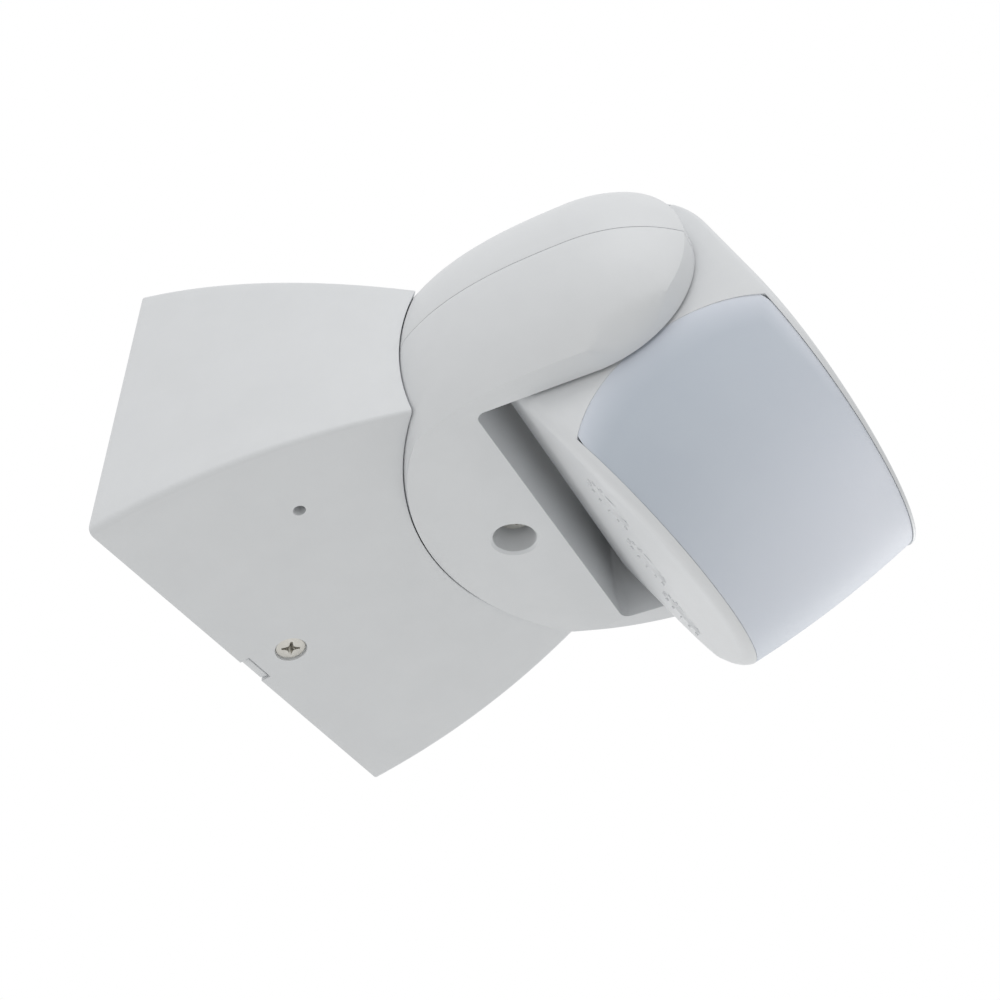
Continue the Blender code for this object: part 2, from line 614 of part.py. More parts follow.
    inner_face = HEAD_HALF_WIDTH - WALL
    washer_out = inner_face - GAP
    nut_out = washer_out - WASHER_THICKNESS - GAP
    for side, name in ((-1, "left"), (1, "right")):
        across = TURN["X"] if side > 0 else TURN["X"] @ Matrix.Rotation(math.pi, 4, "X")
        shop.turned(
            f"tilt_pivot_{name}",
            [(0, SLOT_HALF_WIDTH + PIVOT_IN_ARM - GAP), (PIVOT_RADIUS, SLOT_HALF_WIDTH + PIVOT_IN_ARM - GAP),
             (PIVOT_RADIUS, inner_face), (PIVOT_THREAD, inner_face),
             (PIVOT_THREAD, nut_out - NUT_THICKNESS - 1.0 * MM), (0, nut_out - NUT_THICKNESS - 1.0 * MM)],
            yoke, "steel", across,
        )
        shop.turned(
            f"tilt_washer_{name}",
            [(PIVOT_THREAD + GAP, washer_out), (TILT_WASHER, washer_out), (TILT_WASHER, nut_out + GAP),
             (PIVOT_THREAD + GAP, nut_out + GAP)],
            yoke, "steel", across, ring=True,
        )
        ends = sorted((side * (nut_out - NUT_THICKNESS), side * nut_out))
        thread = shop.cylinder(f"thread_{name}", PIVOT_THREAD + GAP, -far, far, "X", (0, 0), yoke)
        hexagon = shop.cylinder(f"tilt_nut_{name}", TILT_NUT, *ends, "X", (0, 0), yoke, "steel", sides=6)
        shop.cut(hexagon, thread)


def tangent_angle(radius, forward, high):
    """Where the line from a point in front touches the round back, as an angle from straight forward."""
    return math.atan2(high, forward) + math.acos(radius / math.hypot(forward, high))


def head_side(inset, back):
    """The head's side outline in (y, z): round behind, falling to the nose above, folded below."""
    radius, length = HEAD_RADIUS - inset, NOSE_CENTRE + HEAD_HALF_WIDTH
    top, bottom, fold = NOSE_TOP - inset, NOSE_BOTTOM - inset, FOLD_BOTTOM - inset
    start = math.acos(back / radius)
    upper = arc((0, HEAD_RISE), radius, start, math.pi - tangent_angle(radius, length, top - HEAD_RISE), 8)
    lower = arc((0, HEAD_RISE), radius, tangent_angle(radius, FOLD, fold + HEAD_RISE) - math.pi, -start, 8)
    return upper + [(-length, top), (-length, -bottom), (-FOLD, -fold)] + lower


def nose_plan(half_width, back, steps=36):
    """The head's plan outline in (x, y): straight sides with a round nose."""
    nose = arc((0, -NOSE_CENTRE), half_width, math.pi, 2 * math.pi, steps)
    return [(-half_width, back)] + nose + [(half_width, back)]


def lens_window(inset):
    """The lens opening's side outline in (y, z): its rear border is an arc, and it narrows to the nose."""
    middle, half = (LENS_TOP[0] - LENS_BOTTOM[0]) / 2, (LENS_TOP[0] + LENS_BOTTOM[0]) / 2
    bulge = LENS_BORDER_CORNER - LENS_BORDER_MID
    radius = (half ** 2 + bulge ** 2) / (2 * bulge)
    centre = (-LENS_BORDER_MID - radius, middle)
    reach = math.asin((half - inset) / (radius - inset))
    border = arc(centre, radius - inset, reach, -reach, 14)
    length = NOSE_CENTRE + HEAD_HALF_WIDTH
    share = 2.0  # as far again past the nose
    far = LENS_BORDER_CORNER + share * (length - LENS_BORDER_CORNER)
    top, bottom = (side[0] + share * (side[1] - side[0]) - inset for side in (LENS_TOP, LENS_BOTTOM))
    return border + [(-far, -bottom), (-far, top)]


def build_head(shop):
    head = shop.frame("head", (0, -PIVOT_DEPTH, 0), TILT_AT_REST)
    far = 3 * HEAD_HALF_WIDTH
    inner = HEAD_HALF_WIDTH - WALL
    split = HEAD_SPLIT
    sideways = {"left": -1, "right": 1}

    front = shop.plate(
        "head_front_case", head_side(0, split - GAP), -HEAD_HALF_WIDTH, HEAD_HALF_WIDTH, "X",
        head, "housing_plastic",
    )
    shop.common(front, shop.plate("case_plan", nose_plan(HEAD_HALF_WIDTH, far), -far, far, "Z", head))
    hollow = shop.plate("case_hollow", head_side(WALL, split + 2 * MM), -inner, inner, "X", head)
    shop.common(hollow, shop.plate("hollow_plan", nose_plan(inner, far), -far, far, "Z", head))
    window = shop.plate("lens_opening", lens_window(0), -far, far, "X", head)
    board_back = BOARD_THICKNESS - BOARD_FRONT
    for name, side in sideways.items():
        x, z = BOARD_SCREW
        ledge = sorted((side * (x - 3 * MM), side * HEAD_HALF_WIDTH))
        shop.cut(hollow, shop.box(
            f"board_ledge_{name}", (ledge[0], board_back + GAP, z - 3 * MM),
            (ledge[1], board_back + 5 * MM, z + 3 * MM), head,
        ))
        x, z = REAR_SCREW
        boss = sorted((side * (x - 3.5 * MM), side * HEAD_HALF_WIDTH))
        shop.cut(hollow, shop.box(
            f"case_boss_{name}", (boss[0], -2 * MM, -HEAD_RADIUS), (boss[1], far, z + 3.5 * MM), head,
        ))
    shop.cut(front, hollow, window)

    pivots = shop.cylinder("pivot_way", PIVOT_RADIUS + GAP, -far, far, "X", (0, 0), head)
    shop.cut(front, pivots)

    rear = shop.plate(
        "head_rear_cover", rear_side(HEAD_RADIUS, split),
        -HEAD_HALF_WIDTH, HEAD_HALF_WIDTH, "X", head, "housing_plastic",
    )
    rear_hollow = shop.plate(
        "rear_hollow", rear_side(HEAD_RADIUS - WALL, split - 2 * MM), -inner, inner, "X", head,
    )
    for name, side in sideways.items():
        x, z = REAR_SCREW
        at = (side * x, z)
        shop.cut(rear_hollow, shop.cylinder(f"rear_boss_{name}", 4.2 * MM, 0, far, "Y", at, head))
    shop.cut(rear, rear_hollow)
    for name, side in sideways.items():
        x, z = REAR_SCREW
        at = (side * x, z)
        head_way, shank_way = SMALL_HEAD + PLAY, SMALL_SHANK + GAP
        sink = shop.cylinder(f"rear_sink_{name}", head_way, REAR_SCREW_SEAT, far, "Y", at, head, sides=20)
        hole = shop.cylinder(f"rear_way_{name}", shank_way, -1 * MM, far, "Y", at, head, sides=20)
        shop.cut(rear, sink, hole)
        shop.cut(front, hole)
        back = Matrix.Translation((side * x, REAR_SCREW_SEAT + GAP + REAR_SCREW_HEAD, z)) @ TURN["Y"]
        shop.screw(
            f"rear_screw_{name}", head, back, SMALL_HEAD, REAR_SCREW_HEAD, SMALL_SHANK, REAR_SCREW_LENGTH,
        )

    build_lens(shop, head)
    build_electronics(shop, head, inner)
    build_dials(shop, head, front)


def rear_side(radius, split):
    """The rear shell's side outline in (y, z)."""
    half = math.acos(split / radius)
    return arc((0, HEAD_RISE), radius, -half, half, 24)


def build_lens(shop, head):
    half_height = max(LENS_TOP[0], LENS_BOTTOM[0])
    levels = [half_height * i / 4 for i in range(-4, 5)]
    past = 2 * LENS_THICKNESS

    def skin(name, inset, back, stretch, material=None):
        """The barrel-shaped outer or inner face, closed behind at a distance from the pivot."""
        rings = []
        for z in levels:
            half_width = HEAD_HALF_WIDTH - inset - LENS_BARREL * (z / half_height) ** 2
            rings.append([(x, y, z * stretch) for x, y in nose_plan(half_width, -back)])
        return shop.loft(name, rings, head, material)

    lens = skin("fresnel_lens", 0, LENS_BORDER_MID, 1, "lens_plastic")
    shop.cut(lens, skin("lens_inside", LENS_THICKNESS, LENS_BORDER_MID - past, 1.2))
    far = 3 * HEAD_HALF_WIDTH
    shop.common(lens, shop.plate("lens_trim", lens_window(GAP), -far, far, "X", head))


def build_electronics(shop, head, inner):
    """The circuit board across the head, what it carries in front of and behind it, and its screws."""
    board_back, face = BOARD_THICKNESS - BOARD_FRONT, -BOARD_FRONT - GAP
    board = shop.box(
        "main_pcb", (GAP - inner, -BOARD_FRONT, -BOARD_HALF_HEIGHT),
        (inner - GAP, board_back, BOARD_HALF_HEIGHT), head, "board",
    )
    for name, side in (("left", -1), ("right", 1)):
        x, z = BOARD_SCREW
        at = (side * x, z)
        way = shop.cylinder(
            f"board_way_{name}", SMALL_SHANK + GAP, -2 * BOARD_FRONT, board_back + BOARD_SCREW_WAY,
            "Y", at, head, sides=16,
        )
        shop.cut(board, way)
        shop.cut(bpy.data.objects["head_front_case"], way)
        out = Matrix.Translation((side * x, face - BOARD_SCREW_HEAD, z)) @ TURN["Y"].inverted()
        shop.screw(
            f"pcb_screw_{name}", head, out, SMALL_HEAD, BOARD_SCREW_HEAD, SMALL_SHANK, BOARD_SCREW_LENGTH,
        )

    def forward(x, z):
        return Matrix.Translation((x, face, z)) @ TURN["Y"].inverted()

    radius, high = DETECTOR
    foot = 0.4 * MM
    shop.turned(
        "pir_detector",
        [(0, high - GAP), (0.57 * radius, high - GAP), (0.57 * radius, high), (radius - foot / 2, high),
         (radius, high - foot / 2), (radius, 1.5 * foot), (radius + foot, 1.5 * foot), (radius + foot, 0),
         (0, 0)],
        head, "steel", forward(0, DETECTOR_HEIGHT),
    )
    x, z = LIGHTS_AT
    radius, high = LIGHT_SENSOR
    dome = [(radius * math.sin(turn), high * math.cos(turn)) for turn in (0, 0.4, 0.8, 1.2)]
    shop.turned(
        "daylight_sensor", dome + [(radius, 0), (0, 0)], head, "lens_plastic", forward(x, z), steps=24,
    )
    radius, high = LED
    straight = high - radius
    bulb = [(radius * math.sin(turn), straight + radius * math.cos(turn)) for turn in (0, 0.5, 1.0, 1.57)]
    bulb += [(radius, 0.9 * MM), (radius + foot, 0.9 * MM), (radius + foot, 0), (0, 0)]
    shop.turned("status_led", bulb, head, "led_red", forward(-x, z), steps=24)

    behind = board_back + GAP
    wide, deep, high = RELAY
    shop.box(
        "relay", (-PARTS_APART / 2 - wide, behind, -high / 2), (-PARTS_APART / 2, behind + deep, high / 2),
        head, "relay_blue",
    )
    wide, deep, high = FILM_CAPACITOR
    shop.box(
        "film_capacitor", (PARTS_APART / 2, behind, FILM_LOW),
        (PARTS_APART / 2 + wide, behind + deep, FILM_LOW + high), head, "film_yellow",
    )
    radius, long = CAN
    can = shop.cylinder(
        "electrolytic_capacitor", radius, behind, behind + long, "Y", CAN_AT, head, "inner_plastic",
    )
    soft = can.modifiers.new("rolled_rim", "BEVEL")
    soft.width = 0.6 * MM
    soft.segments = 2


def build_dials(shop, head, front):
    """Three dials square to the sloped underside, their trimmers, and the small board that carries these."""
    touch = tangent_angle(HEAD_RADIUS, FOLD, FOLD_BOTTOM + HEAD_RISE)
    low = HEAD_RADIUS / math.sin(touch) - DIAL_FORWARD / math.tan(touch) - HEAD_RISE
    slope = math.pi / 2 - touch
    wide, deep, high = POT_SIZE
    stem_top = WALL + DIAL_STEM_REACH
    pot_low = stem_top + GAP
    pot_top = pot_low + high

    def mouth_frame(name, x):
        mouth = shop.frame(name, (x, -DIAL_FORWARD, -low), -slope)
        mouth.parent = head
        return mouth

    for place, name in ((-1, "lux"), (0, "time"), (1, "range")):
        mouth = mouth_frame(f"{name}_mouth", place * DIAL_SPACING)
        opening = shop.cylinder(f"{name}_opening", DIAL_RADIUS + GAP, -WALL, 2 * WALL, "Z", (0, 0), mouth)
        shop.cut(front, opening)
        dial = shop.turned(
            f"{name}_dial",
            [(0, stem_top), (DIAL_STEM, stem_top), (DIAL_STEM, WALL - GAP), (DIAL_RADIUS, WALL - GAP),
             (DIAL_RADIUS, GAP), (0, GAP)],
            mouth, "housing_plastic",
        )
        slit = 0.8 * DIAL_RADIUS
        blade = shop.box(f"{name}_slit", (-0.6 * MM, -slit, -WALL), (0.6 * MM, slit, GAP + 0.9 * MM), mouth)
        shop.cut(dial, blade)
        shop.box(
            f"{name}_pot", (-wide / 2, -deep / 2, pot_low), (wide / 2, deep / 2, pot_top),
            mouth, "inner_plastic",
        )

    board_low, board_top = pot_top + GAP, pot_top + GAP + BOARD_THICKNESS
    rear = (DIAL_FORWARD - BOARD_FRONT - GAP - board_top * math.sin(slope)) / math.cos(slope)
    half = DIAL_SPACING + wide / 2 + CONTROL_BOARD_MARGIN
    shop.box(
        "control_pcb", (-half, -deep / 2 - CONTROL_BOARD_MARGIN, board_low), (half, rear, board_top),
        mouth_frame("control_board_place", 0), "board",
    )


def main():
    shop = Shop()
    build_base(shop)
    build_yoke(shop)
    build_head(shop)
    bpy.context.view_layer.update()


main()
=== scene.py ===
"""Looks of an outdoor motion sensor on its CAD frame.

The sensor has a wall base, a yoke that pans and a head with a milky lens that tilts.
"""

import json
import logging
import math
from collections.abc import Callable, Sequence
from dataclasses import dataclass, field
from enum import Enum

import bmesh
import bpy
from mathutils import Matrix, Vector

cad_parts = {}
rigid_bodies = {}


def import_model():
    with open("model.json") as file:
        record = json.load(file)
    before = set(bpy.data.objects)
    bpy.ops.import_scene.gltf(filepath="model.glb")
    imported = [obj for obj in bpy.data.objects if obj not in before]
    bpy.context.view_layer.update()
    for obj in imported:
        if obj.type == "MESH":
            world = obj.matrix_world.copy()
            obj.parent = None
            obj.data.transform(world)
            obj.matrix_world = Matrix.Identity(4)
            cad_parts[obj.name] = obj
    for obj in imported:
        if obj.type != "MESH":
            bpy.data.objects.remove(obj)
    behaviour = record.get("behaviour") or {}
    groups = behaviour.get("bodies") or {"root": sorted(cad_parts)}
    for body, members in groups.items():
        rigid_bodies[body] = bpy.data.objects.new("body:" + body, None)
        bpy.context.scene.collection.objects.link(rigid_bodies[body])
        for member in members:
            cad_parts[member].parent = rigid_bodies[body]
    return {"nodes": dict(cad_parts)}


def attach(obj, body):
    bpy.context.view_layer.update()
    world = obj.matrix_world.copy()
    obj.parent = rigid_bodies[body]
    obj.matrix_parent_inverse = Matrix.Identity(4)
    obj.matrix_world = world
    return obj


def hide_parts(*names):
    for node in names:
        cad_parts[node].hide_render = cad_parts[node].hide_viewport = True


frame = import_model()

MM = 0.001
PIVOT_DEPTH = 81.5 * MM  # From the wall to the point where the pan and tilt axes cross.
WELD = 1e-6  # Points closer together than this, in metres, become one.
GRID = 1e7  # Points to sew are told apart on a grid with this many steps to a metre.
DRIFT_SPAN = (0.3, 0.75)  # Values of the slow noise between which the colour drifts.
GLOSS_SPAN = (0.3, 0.7)  # Values of the fine noise between which the gloss changes.
LOG = logging.getLogger("motion_sensor")
Point = tuple[float, float, float]
Flat = tuple[float, float]


class Body(Enum):
    """The CAD bodies that pieces ride on."""

    BASE = "base"
    YOKE = "yoke"
    HEAD = "head"
    LUX = "lux_dial_body"
    TIME = "time_dial_body"
    RANGE = "range_dial_body"


class Slot(Enum):
    """The record's material slots."""

    HOUSING = "housing_plastic"
    LENS = "lens_plastic"
    INNER = "inner_plastic"
    TERMINAL = "terminal_plastic"
    RUBBER = "rubber"
    STEEL = "steel"
    BRASS = "brass"
    BOARD = "board"
    RELAY = "relay_blue"
    FILM = "film_yellow"
    LED = "led_red"


# ---------------------------------------------------------------- materials


def linear(code: str) -> tuple[float, float, float, float]:
    """Turns a screen colour into the renderer's linear one.

    Args:
        code: sRGB colour as six hex digits.

    Returns:
        Linear red, green, blue and full alpha.
    """
    parts = [int(code[i:i + 2], 16) / 255 for i in (0, 2, 4)]
    parts = [c / 12.92 if c <= 0.04045 else ((c + 0.055) / 1.055) ** 2.4 for c in parts]
    return parts[0], parts[1], parts[2], 1.0


def add_node(
    tree: bpy.types.NodeTree, kind: str, inputs: dict | None = None, **settings: object,
) -> bpy.types.Node:
    """Adds one node, sets it up and links it.

    Args:
        tree: The node tree.
        kind: The node's type name.
        inputs: Values or sockets for its inputs, by name or index.
        **settings: Its own properties.

    Returns:
        The node.
    """
    node = tree.nodes.new(kind)
    for name, value in settings.items():
        setattr(node, name, value)
    for name, value in (inputs or {}).items():
        if isinstance(value, bpy.types.NodeSocket):
            tree.links.new(value, node.inputs[name])
        else:
            node.inputs[name].default_value = value
    return node


@dataclass(frozen=True)
class Finish:
    """A material whose colour, gloss and surface drift a little from place to place.

    Attributes:
        name: The real material and how it was made.
        colour: Main sRGB colour.
        drift: sRGB colour that it drifts to.
        roughness: Roughness at the glossiest and the dullest place.
        grain: Size of one grain of its surface, in metres.
        relief: Height of a grain, in metres.
        cloud: Size of the slow drift of colour, in metres.
        ior: Refractive index, not used by metals.
        metallic: 1 for a bare metal.
    """

    name: str
    colour: str
    drift: str
    roughness: Flat
    grain: float
    relief: float
    cloud: float = 9 * MM
    ior: float = 1.5
    metallic: float = 0.0

    def colours(self, tree: bpy.types.NodeTree, where: bpy.types.NodeSocket) -> bpy.types.NodeSocket:
        """Adds the nodes that choose the colour.

        Args:
            tree: The material's tree.
            where: Object coordinates.

        Returns:
            The colour socket.
        """
        slow = add_node(
            tree, "ShaderNodeTexNoise",
            {"Vector": where, "Scale": 1 / self.cloud, "Detail": 3.0, "Roughness": 0.6},
        )
        ramp = add_node(tree, "ShaderNodeValToRGB", {"Fac": slow.outputs["Fac"]})
        for stop, at, code in zip(ramp.color_ramp.elements, DRIFT_SPAN, (self.colour, self.drift)):
            stop.position = at
            stop.color = linear(code)
        return ramp.outputs["Color"]

    def extras(self, tree: bpy.types.NodeTree, shader: bpy.types.Node) -> None:
        """Sets what only some finishes have.

        Args:
            tree: The material's tree.
            shader: Its Principled shader.
        """
        if not self.metallic:
            shader.inputs["IOR"].default_value = self.ior

    def make(self) -> bpy.types.Material:
        """Builds the material.

        Returns:
            The new material.
        """
        material = bpy.data.materials.new(self.name)
        material.use_nodes = True
        tree = material.node_tree
        tree.nodes.clear()
        where = add_node(tree, "ShaderNodeTexCoord").outputs["Object"]
        fine = add_node(
            tree, "ShaderNodeTexNoise",
            {"Vector": where, "Scale": 1 / self.grain, "Detail": 2.0, "Roughness": 0.5},
        )
        gloss = add_node(
            tree, "ShaderNodeMapRange",
            {"Value": fine.outputs["Fac"], "From Min": GLOSS_SPAN[0], "From Max": GLOSS_SPAN[1],
             "To Min": self.roughness[0], "To Max": self.roughness[1]},
        )
        bump = add_node(
            tree, "ShaderNodeBump", {"Height": fine.outputs["Fac"], "Strength": 1.0, "Distance": self.relief},
        )
        shader = add_node(
            tree, "ShaderNodeBsdfPrincipled",
            {"Base Color": self.colours(tree, where), "Roughness": gloss.outputs["Result"],
             "Normal": bump.outputs["Normal"], "Metallic": self.metallic},
        )
        self.extras(tree, shader)
        add_node(tree, "ShaderNodeOutputMaterial", {"Surface": shader.outputs["BSDF"]})
        return material


@dataclass(frozen=True)
class MilkyLens(Finish):
    """Thin cloudy polyethylene, with painted light: paler at its border, tip and top, standing in for light
    and highlights that fall there.

    Attributes:
        rim: sRGB colour of the painted light, where the lens is palest.
        shine: How much of the usual reflection its waxy face keeps.
        glow: Share of light that travels inside the sheet.
        glow_depth: How far it travels.
    """

    rim: str = "FFFFFF"
    shine: float = 0.12
    glow: float = 0.25
    glow_depth: float = 0.8 * MM

    def colours(self, tree: bpy.types.NodeTree, where: bpy.types.NodeSocket) -> bpy.types.NodeSocket:
        """Mixes in the painted light, which the mesh carries as an attribute.

        Args:
            tree: The material's tree.
            where: Object coordinates.

        Returns:
            The colour socket.
        """
        middle = super().colours(tree, where)
        # Painted light: the colour is mixed towards the rim colour where the attribute marks painted
        # highlights.
        edge = add_node(tree, "ShaderNodeAttribute", attribute_name="lens_painted_light")
        # A mix node's colours are its inputs 6 and 7 and its output 2.
        pale = add_node(
            tree, "ShaderNodeMix", {"Factor": edge.outputs["Fac"], 6: middle, 7: linear(self.rim)},
            data_type="RGBA",
        )
        return pale.outputs[2]

    def extras(self, tree: bpy.types.NodeTree, shader: bpy.types.Node) -> None:
        """Lets some light travel inside the sheet.

        Args:
            tree: The material's tree.
            shader: Its Principled shader.
        """
        super().extras(tree, shader)
        shader.inputs["Specular IOR Level"].default_value = self.shine
        shader.inputs["Subsurface Weight"].default_value = self.glow
        shader.inputs["Subsurface Radius"].default_value = (1.0, 1.0, 1.0)
        shader.inputs["Subsurface Scale"].default_value = self.glow_depth


FINISHES: dict[Slot, Finish] = {
    # Moulded ASA from a fine spark-eroded tool: an even, silky near-white with soft wide highlights.
    Slot.HOUSING: Finish(
        "moulded ASA, fine eroded grain", "DDDFE1", "DADCDE", (0.42, 0.5), 0.35 * MM, 0.004 * MM,
    ),
    # Blown and pressed polyethylene: cloudy, bluish, waxy sheen. Its rim colour is painted light, paler at
    # the border, tip and top.
    Slot.LENS: MilkyLens(
        "pressed polyethylene lens sheet", "BBC3CC", "B8C0CA", (0.5, 0.58), 0.6 * MM, 0.002 * MM,
        rim="E9EDF6",
    ),
    # Unpainted polypropylene from a plain tool: duller and greyer than the shell.
    Slot.INNER: Finish("moulded polypropylene, plain", "6E7276", "666A6E", (0.5, 0.62), 0.5 * MM, 0.006 * MM),
    # Glass-filled polyamide: slightly mottled by its fibres.
    Slot.TERMINAL: Finish("glass-filled polyamide", "D8D6CE", "CBC8BE", (0.45, 0.6), 0.4 * MM, 0.008 * MM),
    # Moulded EPDM: nearly black with a dusty bloom.
    Slot.RUBBER: Finish("moulded EPDM rubber", "2A2B2C", "35373A", (0.6, 0.8), 0.7 * MM, 0.01 * MM),
    # Bright zinc plating on steel: pale, slightly warm silver with a broken reflection.
    Slot.STEEL: Finish(
        "zinc-plated steel", "E4E2DC", "D6D4CE", (0.26, 0.4), 0.25 * MM, 0.002 * MM, 2 * MM, metallic=1.0,
    ),
    # Turned free-cutting brass, dulled by handling.
    Slot.BRASS: Finish(
        "turned brass", "C6A664", "B08F50", (0.25, 0.4), 0.25 * MM, 0.002 * MM, 3 * MM, metallic=1.0,
    ),
    # Glass-epoxy board under green solder resist: the cloth's weave shows as a fine grain.
    Slot.BOARD: Finish(
        "glass-epoxy board, green resist", "1E5B3A", "27694A", (0.25, 0.4), 0.5 * MM, 0.01 * MM,
    ),
    # Moulded polyester case of the relay: deep blue, satin.
    Slot.RELAY: Finish("moulded polyester, blue", "2B4C86", "26447A", (0.35, 0.5), 0.4 * MM, 0.004 * MM),
    # Poured epoxy over the film capacitor: smooth, mustard yellow.
    Slot.FILM: Finish("poured epoxy, yellow", "C99B2A", "BD8F22", (0.25, 0.4), 0.8 * MM, 0.006 * MM),
    # Tinted epoxy of the indicator: deep red with a glassy shine.
    Slot.LED: Finish("cast epoxy, tinted red", "B3231E", "9E1C18", (0.12, 0.2), 0.6 * MM, 0.002 * MM),
}


# ---------------------------------------------------------------- mesh tools


@dataclass
class Bench:
    """Builds, cuts and hands over meshes.

    Attributes:
        materials: One material for each slot.
        done: Names of the finished pieces.
    """

    materials: dict[Slot, bpy.types.Material] = field(default_factory=dict)
    done: list[str] = field(default_factory=list)

    def sew(
        self, name: str, sheets: Sequence[Sequence[Sequence[Point]]], caps: Sequence[Sequence[Point]] = (),
        place: Matrix | None = None,
    ) -> bpy.types.Object:
        """Joins grids of points and flat caps into one mesh, sewn where points meet.

        Args:
            name: The piece's name.
            sheets: Grids, each a list of rows of points.
            caps: Loops of points that each close a flat opening.
            place: Where the piece stands.

        Returns:
            The new object.
        """
        index: dict[tuple[int, ...], int] = {}
        points: list[Point] = []
        faces: list[list[int]] = []

        def number(point: Point) -> int:
            """Finds a point, or stores it.

            Args:
                point: The point.

            Returns:
                Its index.
            """
            key = tuple(round(c * GRID) for c in point)
            if key not in index:
                index[key] = len(points)
                points.append(point)
            return index[key]

        def add(loop: list[int]) -> None:
            """Stores a face, unless its points have run together to a line.

            Args:
                loop: Indices of its points.
            """
            kept = [v for i, v in enumerate(loop) if v != loop[i - 1]]
            if len(kept) > 2 and len(set(kept)) == len(kept):
                faces.append(kept)

        for sheet in sheets:
            for low, high in zip(sheet, sheet[1:]):
                for i in range(len(low) - 1):
                    add([number(p) for p in (low[i], low[i + 1], high[i + 1], high[i])])
        for cap in caps:
            add([number(p) for p in cap])
        mesh = bpy.data.meshes.new(name)
        mesh.from_pydata(points, [], faces)
        if place is not None:
            mesh.transform(place)
        self.face_out(mesh)
        piece = bpy.data.objects.new(name, mesh)
        bpy.context.scene.collection.objects.link(piece)
        return piece

    def face_out(self, mesh: bpy.types.Mesh) -> None:
        """Turns all faces outward and drops loose bits.

        Args:
            mesh: The mesh to mend.
        """
        work = bmesh.new()
        work.from_mesh(mesh)
        bmesh.ops.remove_doubles(work, verts=work.verts, dist=WELD)
        bmesh.ops.dissolve_degenerate(work, dist=WELD, edges=work.edges)
        bmesh.ops.recalc_face_normals(work, faces=work.faces)
        work.to_mesh(mesh)
        work.free()

    def turned(
        self, name: str, profile: Sequence[Flat], place: Matrix, steps: int = 40,
    ) -> bpy.types.Object:
        """Spins a profile about the local Z axis.

        Args:
            name: The piece's name.
            profile: (radius, height) points from one end to the other.
            place: Where the piece stands.
            steps: Steps around.

        Returns:
            The new object.
        """
        turns = [2 * math.pi * i / steps for i in range(steps)] + [0.0]
        rows = [[(r * math.cos(t), r * math.sin(t), z) for t in turns] for r, z in profile]
        return self.sew(name, [rows], place=place)

    def pin(
        self, name: str, radius: float, ends: Flat, place: Matrix, steps: int = 40,
    ) -> bpy.types.Object:
        """Makes a plain round pin along the local Z axis.

        Args:
            name: The piece's name.
            radius: Its radius.
            ends: Where it starts and ends along Z.
            place: Where the piece stands.
            steps: Steps around.

        Returns:
            The new object.
        """
        low, high = ends
        return self.turned(name, [(0, low), (radius, low), (radius, high), (0, high)], place, steps)

    def slab(
        self, name: str, outline: Sequence[Flat], low: float, high: float, place: Matrix | None = None,
    ) -> bpy.types.Object:
        """Raises a flat outline along the local Z axis.

        Args:
            name: The piece's name.
            outline: Closed outline in local X and Y.
            low: Its start along Z.
            high: Its end along Z.
            place: Where the piece stands.

        Returns:
            The new object.
        """
        rings = [[(x, y, z) for x, y in [*outline, outline[0]]] for z in (low, high)]
        return self.sew(name, [rings], [ring[:-1] for ring in rings], place)

    def bake(self, piece: bpy.types.Object) -> None:
        """Turns a piece's modifiers into plain mesh.

        Args:
            piece: The piece.
        """
        bpy.context.view_layer.update()
        seen = piece.evaluated_get(bpy.context.evaluated_depsgraph_get())
        mesh = bpy.data.meshes.new_from_object(seen)
        mesh.name = piece.name
        piece.modifiers.clear()
        piece.data = mesh

    def cut(self, piece: bpy.types.Object, *tools: bpy.types.Object, join: bool = False) -> None:
        """Cuts tools out of a piece, or joins them to it, and removes them.

        Args:
            piece: The piece.
            *tools: Closed meshes.
            join: Join instead of cut.
        """
        for tool in tools:
            step = piece.modifiers.new("cut", "BOOLEAN")
            step.operation = "UNION" if join else "DIFFERENCE"
            step.solver = "EXACT"
            step.object = tool
        self.bake(piece)
        for tool in tools:
            bpy.data.objects.remove(tool)
        self.face_out(piece.data)

    def soften(self, piece: bpy.types.Object, width: float, angle: float = 30, steps: int = 3) -> None:
        """Rounds a piece's edges.

        Args:
            piece: The piece.
            width: Width of the rounding.
            angle: Only edges sharper than this, in degrees.
            steps: Faces across the rounding.
        """
        step = piece.modifiers.new("round", "BEVEL")
        step.width = width
        step.segments = steps
        step.limit_method = "ANGLE"
        step.angle_limit = math.radians(angle)
        step.use_clamp_overlap = True
        self.bake(piece)

    def hand_over(
        self, piece: bpy.types.Object, body: Body, slot: Slot, *nodes: str, sharp: float = 35,
    ) -> bpy.types.Object:
        """Shades and dresses a finished piece and hangs it on its body.

        Args:
            piece: The piece.
            body: The CAD body that it rides on.
            slot: Its material slot.
            *nodes: CAD nodes that it stands for.
            sharp: Edges sharper than this stay crisp, in degrees.

        Returns:
            The same piece.
        """
        mesh = piece.data
        mesh.shade_smooth()
        mesh.set_sharp_from_angle(angle=math.radians(sharp))
        mesh.materials.clear()
        mesh.materials.append(self.materials[slot])
        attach(piece, body.value)
        if nodes:
            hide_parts(*nodes)
        self.done.append(piece.name)
        LOG.info("%s: %d faces on %s", piece.name, len(mesh.polygons), body.value)
        return piece


def facing(at: Point, normal: Point) -> Matrix:
    """A frame whose Z axis points along a normal and whose X axis stays sideways.

    Args:
        at: Its origin.
        normal: Direction of its Z axis.

    Returns:
        The frame as a matrix.
    """
    out = Vector(normal).normalized()
    side = Vector((1, 0, 0)) if abs(out.x) < 0.9 else Vector((0, 1, 0))
    up = out.cross(side).normalized()
    across = up.cross(out)
    turn = Matrix((across, up, out)).transposed().to_4x4()
    return Matrix.Translation(at) @ turn


def smooth(share: float) -> float:
    """Eases a share in and out, held between 0 and 1."""
    share = min(max(share, 0.0), 1.0)
    return share * share * (3 - 2 * share)


def spread(start: float, end: float, steps: int) -> list[float]:
    """Evenly spaced values, both ends included."""
    return [start + (end - start) * i / steps for i in range(steps + 1)]


